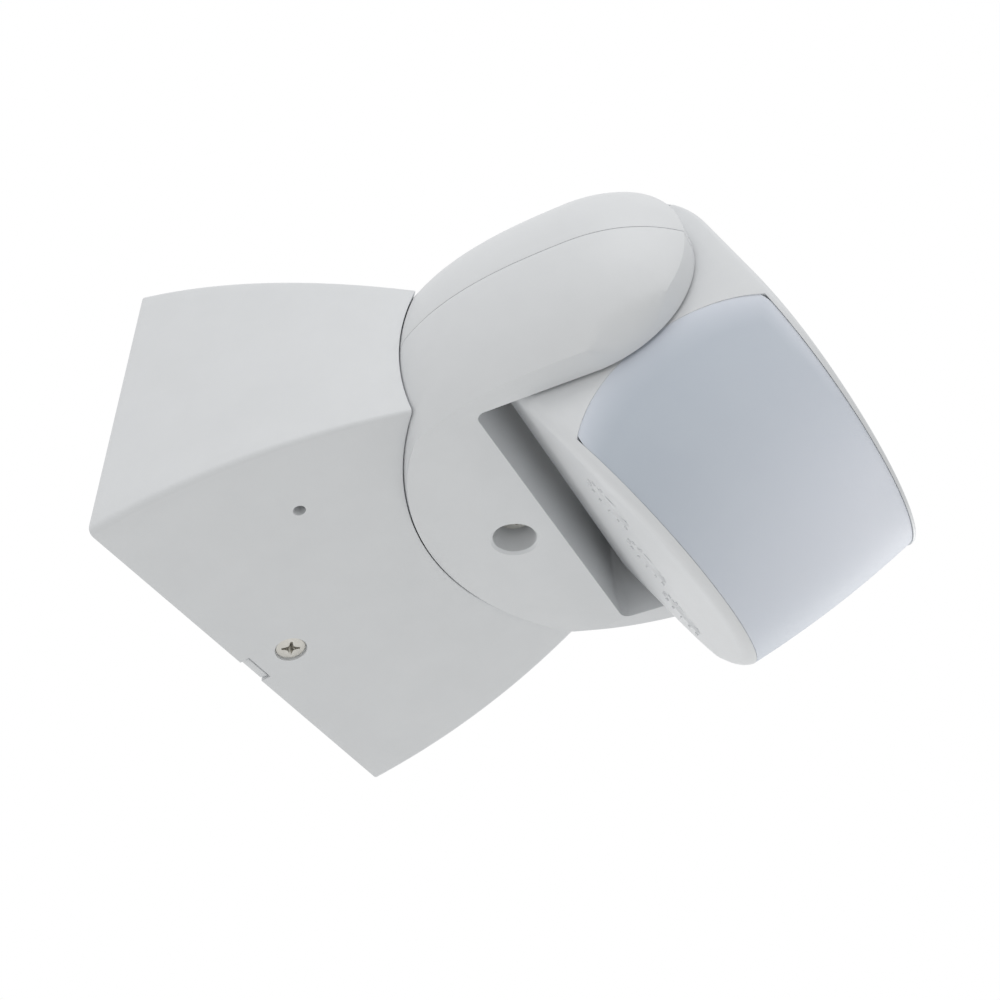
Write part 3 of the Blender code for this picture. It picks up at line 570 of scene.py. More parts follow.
def arc(centre: Flat, radius: float, start: float, end: float, steps: int) -> list[Flat]:
    """Points along an arc, both ends included.

    Args:
        centre: Its centre.
        radius: Its radius.
        start: First angle.
        end: Last angle.
        steps: Number of steps.

    Returns:
        The points.
    """
    turns = spread(start, end, steps)
    return [(centre[0] + radius * math.cos(t), centre[1] + radius * math.sin(t)) for t in turns]


def bisect(inside: Callable[[float], bool], low: float, high: float) -> float:
    """Finds where a test turns from true to false.

    Args:
        inside: The test.
        low: A value that passes.
        high: A value that fails.

    Returns:
        The border value.
    """
    for _ in range(48):
        middle = (low + high) / 2
        low, high = (middle, high) if inside(middle) else (low, middle)
    return low


@dataclass
class CrossScrew:
    """A countersunk screw with a cross recess.

    Attributes:
        head: Radius of its head.
        sink: Height of its cone.
        shank: Radius of its thread.
        length: Whole length.
        pitch: Distance between its thread's rings.
        plain: Lengths without thread below the head and at the tip.
        recess: The recess's reach, half its root's width, and its depth, as shares of the head's radius.
    """

    head: float
    sink: float
    shank: float
    length: float
    pitch: float = 0.8 * MM
    plain: Flat = (0.4 * MM, 1.0 * MM)
    recess: Point = (0.66, 0.2, 0.6)

    def build(self, bench: Bench, name: str, place: Matrix) -> bpy.types.Object:
        """Makes the screw with the top of its head at the frame's origin.

        Args:
            bench: The mesh tools.
            name: Name of the piece.
            place: Frame with Z out of the head.

        Returns:
            The screw.
        """
        head, edge = self.head, 0.12 * self.head
        profile = [
            (0, 0), (head - 2 * edge, 0), (head - 0.6 * edge, -0.35 * edge), (head, -1.2 * edge),
            (self.shank, -self.sink),
        ]
        for turn in range(int((self.length - self.sink - sum(self.plain)) / self.pitch)):
            z = -self.sink - self.plain[0] - turn * self.pitch
            profile += [(self.shank, z), (0.82 * self.shank, z - 0.5 * self.pitch)]
        profile += [(0.6 * self.shank, -self.length), (0, -self.length)]
        screw = bench.turned(name, profile, place)
        wing, web, deep = (share * head for share in self.recess)
        waist = 0.62 * wing
        one_wing = (
            (web, -web), (waist, -0.6 * web), (wing, -0.42 * web), (wing, 0.42 * web), (waist, 0.6 * web),
        )
        corners = []
        for c, s in ((1, 0), (0, 1), (-1, 0), (0, -1)):
            corners += [(along * c - off * s, along * s + off * c) for along, off in one_wing]
        rings = []
        for z, size in ((0.3 * deep, 1.06), (-deep, 0.45)):
            rings.append([(x * size, y * size, z) for x, y in [*corners, corners[0]]])
        recess = bench.sew("cross_recess", [rings], [ring[:-1] for ring in rings], place)
        bench.cut(screw, recess)
        return screw


# ---------------------------------------------------------------- repeated bars


@dataclass
class ArcOfBars:
    """Bars spread evenly along an arc, each pointing to its centre, laid out by Geometry Nodes.

    Attributes:
        count: Bars in an arc.
        radius: Radius of the arc.
        sweep: Angle that it covers, half on each side of the local Y axis.
        bar: A bar's length towards the centre, its width and its height.
        easing: Width of its eased edges.
    """

    count: int
    radius: float
    sweep: float
    bar: Point
    easing: float = 0.05 * MM

    def tree(self, material: bpy.types.Material) -> bpy.types.GeometryNodeTree:
        """Builds the node tree.

        Args:
            material: What the bars are made of.

        Returns:
            The tree, with named inputs.
        """
        tree = bpy.data.node_groups.new("arc of bars", "GeometryNodeTree")
        kinds = {"Count": "Int", "Radius": "Float", "Sweep": "Float", "Bar": "Vector"}
        for name, kind in kinds.items():
            tree.interface.new_socket(name, in_out="INPUT", socket_type=f"NodeSocket{kind}")
        tree.interface.new_socket("Geometry", in_out="OUTPUT", socket_type="NodeSocketGeometry")
        given = add_node(tree, "NodeGroupInput").outputs
        half = add_node(tree, "ShaderNodeMath", {0: given["Sweep"], 1: -0.5}, operation="MULTIPLY")
        start = add_node(tree, "ShaderNodeMath", {0: half.outputs[0], 1: math.pi / 2}, operation="ADD")
        curve = add_node(tree, "GeometryNodeCurveArc", {
            "Resolution": given["Count"], "Radius": given["Radius"], "Start Angle": start.outputs[0],
            "Sweep Angle": given["Sweep"],
        })
        points = add_node(
            tree, "GeometryNodeCurveToPoints", {"Curve": curve.outputs["Curve"]}, mode="EVALUATED",
        )
        where = add_node(tree, "GeometryNodeInputPosition")
        turn = add_node(tree, "FunctionNodeAlignRotationToVector", {"Vector": where.outputs[0]}, axis="X")
        cube = add_node(tree, "GeometryNodeMeshCube", {"Size": given["Bar"]})
        bars = add_node(tree, "GeometryNodeInstanceOnPoints", {
            "Points": points.outputs["Points"], "Instance": cube.outputs["Mesh"], "Rotation": turn.outputs[0],
        })
        real = add_node(tree, "GeometryNodeRealizeInstances", {"Geometry": bars.outputs["Instances"]})
        dressed = add_node(
            tree, "GeometryNodeSetMaterial", {"Geometry": real.outputs["Geometry"], "Material": material},
        )
        add_node(tree, "NodeGroupOutput", {"Geometry": dressed.outputs["Geometry"]})
        return tree

    def build(self, bench: Bench, name: str, body: Body, slot: Slot, places: Sequence[Matrix]) -> None:
        """Makes one piece with an arc at each place.

        Args:
            bench: The mesh tools.
            name: Name of the piece.
            body: The CAD body that it rides on.
            slot: Its material slot.
            places: Frames of the arcs.
        """
        tree = self.tree(bench.materials[slot])
        keys = {item.name: item.identifier for item in tree.interface.items_tree if item.in_out == "INPUT"}
        work = bmesh.new()
        for place in places:
            holder = bpy.data.objects.new("bars", bpy.data.meshes.new("bars"))
            bpy.context.scene.collection.objects.link(holder)
            step = holder.modifiers.new("arc of bars", "NODES")
            step.node_group = tree
            step[keys["Count"]] = self.count
            step[keys["Radius"]] = self.radius
            step[keys["Sweep"]] = self.sweep
            step[keys["Bar"]] = self.bar
            bench.bake(holder)
            holder.data.transform(place)
            work.from_mesh(holder.data)
            bpy.data.objects.remove(holder)
        mesh = bpy.data.meshes.new(name)
        work.to_mesh(mesh)
        work.free()
        piece = bpy.data.objects.new(name, mesh)
        bpy.context.scene.collection.objects.link(piece)
        bench.soften(piece, self.easing, steps=1)
        bench.hand_over(piece, body, slot)


# ---------------------------------------------------------------- wall base


@dataclass
class WallBase:
    """The tapered cover on the wall, with the round seat that the yoke turns in.

    Attributes:
        width: Width at the wall.
        height: Height at the wall.
        depth: From the wall to the corners of the front.
        front_width: Width of the front.
        front_height: Height of the front.
        bulge: How far its sides swell.
        corner: Corner radius at the wall and at the front.
        wall: Wall thickness.
        pivot_depth: From the wall to the pan axis.
        seat: Radius of the round seat.
        window: Half width and half height of the stud's way through the seat.
        window_corner: Its corner radius.
        easing: Width of the cover's eased edges.
        screw_depth: Cover screw's distance from the wall.
        screw_head: Diameter of its head.
        screw_shank: Radius of its thread.
        screw_length: Its whole length.
        screw_play: Gap round its head.
        screw_sunk: How far its head lies below the cover's face.
        screw_turn: How far its recess is turned.
        notch: Width and depth of the prying notch.
        drain: Drain hole's diameter.
        drain_at: Where it stands.
    """

    width: float = 90 * MM
    height: float = 57.1 * MM
    depth: float = 51.7 * MM
    front_width: float = 65.7 * MM
    front_height: float = 29.3 * MM
    bulge: float = 3 * MM
    corner: Flat = (1.4 * MM, 0.7 * MM)
    wall: float = 2.2 * MM
    pivot_depth: float = PIVOT_DEPTH
    seat: float = 46.8 * MM
    window: Flat = (24.4 * MM, 5.4 * MM)
    window_corner: float = 2.4 * MM
    easing: float = 0.25 * MM
    screw_depth: float = 8.4 * MM
    screw_head: float = 5.6 * MM
    screw_shank: float = 1.5 * MM
    screw_length: float = 9.6 * MM
    screw_play: float = 0.12 * MM
    screw_sunk: float = 0.25 * MM
    screw_turn: float = math.radians(52)
    notch: Flat = (6.8 * MM, 1.9 * MM)
    drain: float = 2.1 * MM
    drain_at: Flat = (-27 * MM, -27.2 * MM)

    def half_height(self, depth: float) -> float:
        """Half height of the cover at a distance from the wall."""
        return (self.height + (self.front_height - self.height) * depth / self.depth) / 2

    def half_width(self, depth: float) -> float:
        """Half width of the cover at a distance from the wall.

        Args:
            depth: Distance from the wall.

        Returns:
            The half width.
        """
        share = depth / self.depth
        swell = self.bulge * 4 * share * (1 - share)
        return (self.width + (self.front_width - self.width) * share) / 2 + swell

    def outline(
        self, wide: float, high: float, radius: float, fine: tuple[int, int] = (30, 18),
    ) -> list[Flat]:
        """A rounded rectangle with evenly stepped sides.

        Args:
            wide: Half width.
            high: Half height.
            radius: Corner radius.
            fine: Steps along the long and the short sides.

        Returns:
            Its points, first one repeated.
        """
        points: list[Flat] = []
        corners = ((1, 1, 0.0), (-1, 1, 0.5), (-1, -1, 1.0), (1, -1, 1.5))
        for i, (sx, sz, turn) in enumerate(corners):
            centre = (sx * (wide - radius), sz * (high - radius))
            bend = arc(centre, radius, turn * math.pi, (turn + 0.5) * math.pi, 6)
            ahead = corners[(i + 1) % 4]
            start = ahead[2] * math.pi
            goal = (ahead[0] * (wide - radius) + radius * math.cos(start),
                    ahead[1] * (high - radius) + radius * math.sin(start))
            run = zip(*(spread(last, next_one, fine[i % 2]) for last, next_one in zip(bend[-1], goal)))
            points += bend + list(run)[1:-1]
        return [*points, points[0]]

    def ring(self, depth: float, inset: float) -> list[Point]:
        """The cover's outline at one distance from the wall.

        Args:
            depth: Distance from the wall.
            inset: Distance inside the outer skin.

        Returns:
            Its points, first one repeated.
        """
        share = min(max(depth / self.depth, 0), 1)
        least = 0.4 * MM
        radius = max(self.corner[0] + (self.corner[1] - self.corner[0]) * share - inset, least)
        flat = self.outline(self.half_width(depth) - inset, self.half_height(depth) - inset, radius)
        return [(x, -depth, z) for x, z in flat]

    def rows(self, inset: float, ball: float, steps: int) -> list[list[Point]]:
        """Rows of points from the wall to the rim of the seat.

        Args:
            inset: Distance inside the outer skin.
            ball: Radius of the ball that the rim lies on.
            steps: Number of rows less one.

        Returns:
            The rows.
        """
        slices, past_front = 120, 1.1
        tables = [self.ring(self.depth * past_front * i / slices, inset) for i in range(slices + 1)]
        count = len(tables[0])

        def at(j: int, share: float) -> Point:
            """A point of the cover's side.

            Args:
                j: Its number along the outline.
                share: From 0 at the wall to 1 a little past the front.

            Returns:
                The point.
            """
            place = share * slices
            low = min(int(place), slices - 1)
            part = place - low
            return tuple(a + (b - a) * part for a, b in zip(tables[low][j], tables[low + 1][j]))

        def clear(j: int, share: float) -> bool:
            """Tells whether a point of the side lies outside the ball.

            Args:
                j: Its number along the outline.
                share: From 0 at the wall to 1 a little past the front.

            Returns:
                True outside the ball.
            """
            x, y, z = at(j, share)
            return math.hypot(x, y + self.pivot_depth, z) > ball

        ends = [bisect(lambda share, j=j: clear(j, share), 0.0, 1.0) for j in range(count)]
        return [[at(j, ends[j] * i / steps) for j in range(count)] for i in range(steps + 1)]

    def on_ball(self, ball: float, start: Sequence[Point], steps: int) -> list[list[Point]]:
        """Rows over the round seat from its rim to the stud's way.

        Args:
            ball: Radius of the seat.
            start: The rim.
            steps: Number of rows after the rim.

        Returns:
            The rows, without the rim.
        """
        centre = Vector((0, -self.pivot_depth, 0))
        hole = []
        for x, z in self.outline(*self.window, self.window_corner):
            hole.append(Vector((x, math.sqrt(self.seat ** 2 - x * x - z * z), z)).normalized())
        rows = []
        for i in range(1, steps + 1):
            row = []
            for rim, mark in zip(start, hole):
                way = (Vector(rim) - centre).normalized().slerp(mark, i / steps)
                row.append(tuple(centre + way * ball))
            rows.append(row)
        return rows

    def build(self, bench: Bench) -> None:
        """Makes the cover and its screw.

        Args:
            bench: The mesh tools.
        """
        skin = self.rows(0, self.seat, steps=26)
        seat = self.on_ball(self.seat, skin[-1], steps=12)
        lining = self.rows(self.wall, self.seat + self.wall, steps=10)
        back_of_seat = self.on_ball(self.seat + self.wall, lining[-1], steps=8)
        sheet = skin + seat + back_of_seat[::-1] + lining[::-1] + [skin[0]]
        cover = bench.sew("base_cover_skin", [sheet])
        bench.soften(cover, self.easing)

        low = -self.half_height(self.screw_depth)
        slope = (self.height - self.front_height) / 2 / self.depth
        out = facing((0, -self.screw_depth, low), (0, -slope, -1))
        head, shank = self.screw_head / 2, self.screw_shank
        mouth, way, rim, deep = head + self.screw_play, shank + 0.4 * MM, 0.6 * MM, 6 * MM
        sink = bench.turned(
            "screw_sink",
            [(0, MM), (mouth, MM), (mouth, -rim), (way, -rim - head + shank), (way, -deep), (0, -deep)],
            out, steps=56,
        )
        half, deep = self.notch[0] / 2, self.notch[1]
        past_wall = self.wall + 0.4 * MM
        notch = bench.slab(
            "pry_notch", [(-half, -deep), (half, -deep), (half, deep), (-half, deep)],
            -self.height, past_wall - self.half_height(0),
        )
        drip = bench.pin(
            "drain", self.drain / 2, (-self.height, 0), Matrix.Translation((*self.drain_at, 0)), steps=32,
        )
        bench.cut(cover, sink, notch, drip)
        bench.hand_over(cover, Body.BASE, Slot.HOUSING, "base_cover")

        screw = CrossScrew(head, head - shank, shank, self.screw_length)
        sunk = Matrix.Translation((0, 0, -self.screw_sunk))
        turn = Matrix.Rotation(self.screw_turn, 4, "Z")
        piece = screw.build(bench, "cover_screw_cross", out @ sunk @ turn)
        bench.hand_over(piece, Body.BASE, Slot.STEEL, "cover_screw")


# ---------------------------------------------------------------- yoke


@dataclass
class YokeFork:
    """The fork that turns in the seat and holds the head between its domed arms.

    Attributes:
        pivot_depth: From the wall to the pan axis.
        ball: Radius of the back, which rubs along the seat.
        half_width: Half width across the arms.
        half_height: Half height.
        rear: Length of its plan curve behind the axis.
        front: Length of the arms' domes.
        powers: How square the plan is behind and in front.
        crown: Angles from straight back between which the arms become domed.
        crease_fade: Angles below straight ahead where an end's crease starts to fade, is gone and is back.
        crease_round: How wide the crease is rounded where it is gone.
        slot: Half width of the head's slot and its end behind the axis.
        slot_lean: How far the slot's rear wall leans forward at its top and bottom, round the head's back.
        slot_corner: Rounding of the slot's rear corners.
        easing: Width of the shells' eased edges.
        parting: Half the gap between its shells.
        stud_seat: Radius of the room for the stud's head, and its start and end behind the axis.
        stud_hole: Radius of the stud's way out.
        pivot_bore: Radius of the hinge pivots' bores, and their start and end from the middle.
        clamp_depth: Clamp screw's distance from the wall.
        clamp_hole: Diameter of its way in.
        clamp_seat: How deep its head sits below the parting line.
        clamp_shank: Radius of the way for its thread.
        clamp_post: Radius of the post round the clamp screw.
        insert_bore: Radius and depth of the bore for its brass insert.
        neck: Half width, rear end and half height of the hollow neck.
        neck_corner: Rounding of the hollow's corners.
        neck_wall: Wall between the hollow and the slot.
    """

    pivot_depth: float = PIVOT_DEPTH
    ball: float = 46.6 * MM
    half_width: float = 41.4 * MM
    half_height: float = 18 * MM
    rear: float = 46.3 * MM
    front: float = 29.3 * MM
    powers: Flat = (2.57, 2.3)
    crown: Flat = (math.radians(10), math.radians(50))
    crease_fade: Point = (math.radians(36), math.radians(62), math.radians(74))
    crease_round: float = 3.8 * MM
    slot: Flat = (30.4 * MM, 21.3 * MM)
    slot_lean: float = 1 * MM
    slot_corner: float = 1.6 * MM
    easing: float = 0.35 * MM
    parting: float = 0.08 * MM
    stud_seat: Point = (8.3 * MM, 36 * MM, 43.6 * MM)
    stud_hole: float = 5.3 * MM
    pivot_bore: Point = (4.3 * MM, 28 * MM, 37 * MM)
    clamp_depth: float = 53.4 * MM
    clamp_hole: float = 7.65 * MM
    clamp_seat: float = 11 * MM
    clamp_shank: float = 1.8 * MM
    clamp_post: float = 5.5 * MM
    insert_bore: Flat = (2.8 * MM, 13.3 * MM)
    neck: Point = (20 * MM, 37.5 * MM, 14.8 * MM)
    neck_corner: float = 1.5 * MM
    neck_wall: float = 2.6 * MM

    def dome(self, off_axis: float) -> float:
        """Half width of an arm's dome at a distance from the tilt axis."""
        power = self.powers[1]
        return self.half_width * (1 - (off_axis / self.front) ** power) ** (1 / power)

    def end_width(self, y: float, height: float) -> float:
        """Half width of an arm in front of the axis: its dome, with the crease of its end rounded off below.

        Args:
            y: Distance behind the axis, below zero in front of it.
            height: Height above the axis.

        Returns:
            The half width.
        """
        off_axis = math.hypot(y, height)
        turn = math.atan2(-height, -y)
        start, gone, back = self.crease_fade
        below, tiny = math.pi / 2, 1e-9
        fade = smooth((turn - start) / (gone - start)) * smooth((below - turn) / (below - back))
        wide = self.crease_round * fade
        # The dome's slope makes the rounding this much narrower along the dome than along the end.
        narrow = 0.73 * wide + tiny
        share = min(max(1 - (self.half_height - off_axis) / narrow, 0), 1)
        return self.dome(off_axis) - wide * (1 - math.sqrt(1 - share * share))

    def reach(self, angle: float, height: float) -> float:
        """Distance of the rear skin from the pan axis.

        Args:
            angle: Angle from straight back.
            height: Height above the axis.

        Returns:
            The distance.
        """
        start, full = (math.sin(turn / 2) for turn in self.crown)
        share = (math.sin(abs(angle) / 2) - start) / (full - start)
        rear_power, power = self.powers
        crown = smooth(share) * abs(height / self.front) ** power
        half = self.half_width * (1 - crown) ** (1 / power)

        def inside(radius: float) -> bool:
            """Tells whether a distance still lies inside the plan curve.

            Args:
                radius: Distance from the pan axis.

            Returns:
                True inside.
            """
            across, back = abs(radius * math.sin(angle)) / half, radius * math.cos(angle) / self.rear
            return across ** rear_power + max(back, 0) ** rear_power < 1

        return min(bisect(inside, 0.0, 2 * self.ball), math.sqrt(self.ball ** 2 - height ** 2))

    def ring(self, height: float) -> list[Point]:
        """The fork's closed plan outline at one height, from the right arm's tip round the back.

        Args:
            height: Height above the axis.

        Returns:
            Its points, first one repeated.
        """
        tip = math.sqrt(self.half_height ** 2 - height ** 2)
        half, end = self.slot
        end -= self.slot_lean * (height / self.half_height) ** 2
        right: list[Flat] = []
        ahead, behind = 16, 48  # Steps from an arm's tip to the tilt axis, and from there round to the back.
        for i in range(ahead + 1):
            y = -tip * (1 - i / ahead)
            right.append((self.end_width(y, height), y))
        for i in range(1, behind + 1):
            angle = math.pi / 2 * (1 - i / behind)
            radius = self.reach(angle, height)
            right.append((radius * math.sin(angle), radius * math.cos(angle)))
        outer = right + [(-x, y) for x, y in right[-2::-1]]
        bend = self.slot_corner
        crease = right[0][0]
        # From the crease across the arm's end, back along the slot's side and along its rear wall.
        inner: list[Flat] = [(half + (crease - half) * i / 4, -tip) for i in range(3, -1, -1)]
        inner += [(half, -tip + (end - bend + tip) * i / 16) for i in range(1, 16)]
        inner += arc((half - bend, end - bend), bend, 0, math.pi / 2, 6)
        inner += [((half - bend) * (1 - i / 12), end) for i in range(1, 12)]
        across = [(-x, y) for x, y in inner] + [(0.0, end)] + inner[::-1]
        loop = outer + across
        return [(x, y, height) for x, y in [*loop, loop[0]]]

    def build(self, bench: Bench) -> None:
        """Makes both shells with their bores.

        Args:
            bench: The mesh tools.
        """
        place = Matrix.Translation((0, -self.pivot_depth, 0))
        levels, last = 22, math.radians(87)
        turns = [last * (i / levels) for i in range(1, levels + 1)]
        heights = [self.parting] + [self.half_height * math.sin(turn) for turn in turns]
        for name, side in (("yoke_lower_shell", -1), ("yoke_upper_shell", 1)):
            rings = [self.ring(side * height) for height in heights]
            shell = bench.sew(f"{name}_skin", [rings], [rings[0][:-1], rings[-1][:-1]], place)
            bench.soften(shell, self.easing)
            bench.cut(shell, *self.ways(bench, side))
            bench.hand_over(shell, Body.YOKE, Slot.HOUSING, name)

    def ways(self, bench: Bench, side: int) -> list[bpy.types.Object]:
        """Cutters for the hollow neck, the stud, the pivots and the clamp screw.

        Args:
            bench: The mesh tools.
            side: 1 above the parting line, -1 below.

        Returns:
            The cutters.
        """
        far = 2 * self.ball
        axis = (0, -self.pivot_depth, 0)
        clamp = Matrix.Translation((0, -self.clamp_depth, 0))
        wide, start, end = self.stud_seat
        hole = self.stud_hole
        tools = [bench.turned(
            "stud_way", [(0, start), (wide, start), (wide, end), (hole, end), (hole, far), (0, far)],
            facing(axis, (0, 1, 0)),
        )]
        bore, start, end = self.pivot_bore
        for way in (-1, 1):
            tools.append(bench.pin(f"pivot_way_{way}", bore, (start, end), facing(axis, (way, 0, 0))))
        if side < 0:
            hole, shank, seat = self.clamp_hole / 2, self.clamp_shank, -self.clamp_seat
            inner, outer, flare = 0.5 * MM - self.half_height, -self.half_height - 0.7 * MM, 1.2 * MM
            tools.append(bench.turned(
                "clamp_way",
                [(0, MM), (shank, MM), (shank, seat), (hole, seat), (hole, inner),
                 (hole + flare, outer), (0, outer)],
                clamp, steps=64,
            ))
        else:
            bore, deep = self.insert_bore
            tools.append(bench.pin("insert_way", bore, (-MM, deep), clamp))
        wide, rear, high = self.neck
        front, bend = self.slot[1] + self.neck_wall, self.neck_corner
        corners = ((wide, rear, 0.0), (-wide, rear, 0.5), (-wide, front, 1.0), (wide, front, 1.5))
        outline: list[Flat] = []
        for x, y, turn in corners:
            centre = (x - math.copysign(bend, x), y - bend if y > front else y + bend)
            outline += arc(centre, bend, turn * math.pi, (turn + 0.5) * math.pi, 5)
        hollow = bench.slab("neck_hollow", outline, -high, high, Matrix.Translation(axis))
        bench.cut(hollow, bench.pin("clamp_post", self.clamp_post, (-far, far), clamp))
        return [*tools, hollow]


# ---------------------------------------------------------------- head


@dataclass
class LensHead:
    """The tilting head: its two shells, the lens with its ribs, and the dials with their scale marks.

    Attributes:
        pivot_depth: From the wall to the tilt axis.
        tilt: How far the nose is turned down at rest.
        half_width: Half width.
        radius: Radius of the round back.
        rise: How much higher than the axis the round back's centre lies.
        nose: From the tilt axis to the centre of the round nose.
        nose_high: Heights of the nose above and below the axis.
        fold: Distance forward of the underside's fold line and its depth.
        split: How far behind the axis the case is divided.
        split_gap: Gap between the front case and the rear cover.
        wall: Wall thickness.
        under_round: Edge rounding below, at the sides and at the nose.
        top_round: Edge rounding above, at the sides and at the nose.
        rear_round: Rounding of the rear cover's side edges, outside and inside.
        pivot_bore: Radius of the hinge pivots' bores.
        rear_screw: Rear screws' distance from the middle and their height.
        rear_post: Radius of the posts round them, and how far back these reach.
        rear_sink: Radius for a screw's thread, radius for its head, and where its head sits.
        lens_top: Lens edge above the axis, at its rear corners and at the nose.
        lens_bottom: Lens edge below the axis, at its rear corners and at the nose.
        border: Rear border of the lens, in its middle and at its corners.
        barrel: How far the lens lies inside the case at its top and bottom.
        swell: How far the lens's middle stands out in front.
        swell_run: Distance from the rear border over which it comes out.
        lens_thickness: Thickness of the lens sheet.
        lens_gaps: Gaps to the case above, below and behind it.
        lens_snip: Length and depth of its snipped rear corners.
        lens_grid: Steps from its bottom to its top, and from left to right.
        dial_forward: Dials' distance forward.
        dial_spacing: Distance between dials.
        dial_radius: Radius of a dial.
        dial_play: Gap round a dial.
        dial_sunk: How far a dial's face lies below the underside.
        slit: Half width of a dial's slit and its depth.
    """

    pivot_depth: float = PIVOT_DEPTH
    tilt: float = math.radians(63.5)
    half_width: float = 29.8 * MM
    radius: float = 20.8 * MM
    rise: float = 0.95 * MM
    nose: float = 17.7 * MM
    nose_high: Flat = (16.9 * MM, 15.2 * MM)
    fold: Flat = (31 * MM, 18 * MM)
    split: float = 6 * MM
    split_gap: float = 0.3 * MM
    wall: float = 2.2 * MM
    under_round: Flat = (2.5 * MM, 2.4 * MM)
    top_round: Flat = (1 * MM, 0.3 * MM)
    rear_round: Flat = (1.2 * MM, 0.4 * MM)
    pivot_bore: float = 4.3 * MM
    rear_screw: Flat = (24 * MM, -13 * MM)
    rear_post: Flat = (4.2 * MM, 12.5 * MM)
    rear_sink: Point = (1.6 * MM, 3.2 * MM, 9.3 * MM)
    lens_top: Flat = (18.2 * MM, 16.35 * MM)
    lens_bottom: Flat = (16.7 * MM, 13.9 * MM)
    border: Flat = (16.7 * MM, 23.9 * MM)
    barrel: float = 0.2 * MM
    swell: float = 0.5 * MM
    swell_run: float = 20 * MM
    lens_thickness: float = 1.2 * MM
    lens_gaps: Point = (0.06 * MM, 0.05 * MM, 0.02 * MM)
    lens_snip: Flat = (2.2 * MM, 0.5 * MM)
    lens_grid: tuple[int, int] = (40, 120)
    dial_forward: float = 26.5 * MM
    dial_spacing: float = 16 * MM
    dial_radius: float = 3.4 * MM
    dial_play: float = 0.3 * MM
    dial_sunk: float = 0.3 * MM
    slit: Flat = (0.55 * MM, 1.0 * MM)

    @property
    def place(self) -> Matrix:
        """Where the head stands: local Y runs backward, local Z up."""
        return Matrix.Translation((0, -self.pivot_depth, 0)) @ Matrix.Rotation(self.tilt, 4, "X")

    @property
    def length(self) -> float:
        """From the tilt axis to the tip of the nose."""
        return self.nose + self.half_width

    def touch(self, radius: float, forward: float, high: float) -> float:
        """Angle from straight forward at which a line from a point in front touches the round back."""
        return math.atan2(high, forward) + math.acos(radius / math.hypot(forward, high))

    def roof(self, forward: float, inset: float) -> float:
        """Height of the top.

        Args:
            forward: Distance forward of the axis.
            inset: Distance inside the outer skin.

        Returns:
            The height above the axis.
        """
        radius, high = self.radius - inset, self.nose_high[0] - inset
        turn = self.touch(radius, self.length, high - self.rise)
        start = radius * math.cos(turn)
        if forward < start:
            return self.rise + math.sqrt(max(radius ** 2 - forward ** 2, 0))
        first = self.rise + radius * math.sin(turn)
        return first + (high - first) * (forward - start) / (self.length - start)

    def floor(self, forward: float, inset: float) -> float:
        """Height of the underside.

        Args:
            forward: Distance forward of the axis.
            inset: Distance inside the outer skin.

        Returns:
            The height, below zero.
        """
        radius, bottom, deep = self.radius - inset, self.nose_high[1] - inset, self.fold[1] - inset
        turn = self.touch(radius, self.fold[0], deep + self.rise)
        start, first = radius * math.cos(turn), radius * math.sin(turn) - self.rise
        if forward < start:
            return self.rise - math.sqrt(max(radius ** 2 - forward ** 2, 0))
        if forward < self.fold[0]:
            return -(first + (deep - first) * (forward - start) / (self.fold[0] - start))
        return -(deep + (bottom - deep) * (forward - self.fold[0]) / (self.length - self.fold[0]))

    def plan(self, inset: float, back: float) -> list[tuple[float, float, float, float]]:
        """The plan outline: points with their outward directions, from the rear left round the nose.

        Args:
            inset: Distance inside the outer skin.
            back: Where it starts, forward of the axis.

        Returns:
            Rows of x, forward, and the direction's x and forward parts.
        """
        half = self.half_width - inset
        along, around = 22, 72  # Steps along a side and round the nose.
        left = [(-half, forward, -1.0, 0.0) for forward in spread(back, self.nose, along)[:-1]]
        turns = [math.pi * (1 - i / around) for i in range(around + 1)]
        nose = [(half * math.cos(t), self.nose + half * math.sin(t), math.cos(t), math.sin(t)) for t in turns]
        return left + nose + [(-x, f, -a, b) for x, f, a, b in left[::-1]]

    def case_solid(self, bench: Bench, name: str, inset: float, back: float) -> bpy.types.Object:
        """The front case's outer or inner form as a closed solid with rounded edges.

        Args:
            bench: The mesh tools.
            name: Name of the piece.
            inset: Distance inside the outer skin.
            back: Its flat rear end, forward of the axis.

        Returns:
            The solid.
        """
        stations = self.plan(inset, back)
        middle = len(stations) // 2
        change, least = 0.6 * self.half_width, 0.3 * MM

        def edge(station: tuple[float, float, float, float], turn: float, above: bool) -> Point:
            """A point on the rounded edge, whose rounding changes from the sides to the nose.

            Args:
                station: A row of the plan.
                turn: From 0 on the top or underside to a right angle on the side.
                above: The upper edge, not the lower one.

            Returns:
                The point.
            """
            x, forward, out_x, out_f = station
            side, tip = self.top_round if above else self.under_round
            radius = max(side + (tip - side) * smooth((forward - self.nose) / change) - inset, least)
            step = radius * (1 - math.sin(turn))
            x, forward = x - out_x * step, forward - out_f * step
            lift = radius * (1 - math.cos(turn))
            high = self.roof(forward, inset) - lift if above else self.floor(forward, inset) + lift
            return x, -forward, high

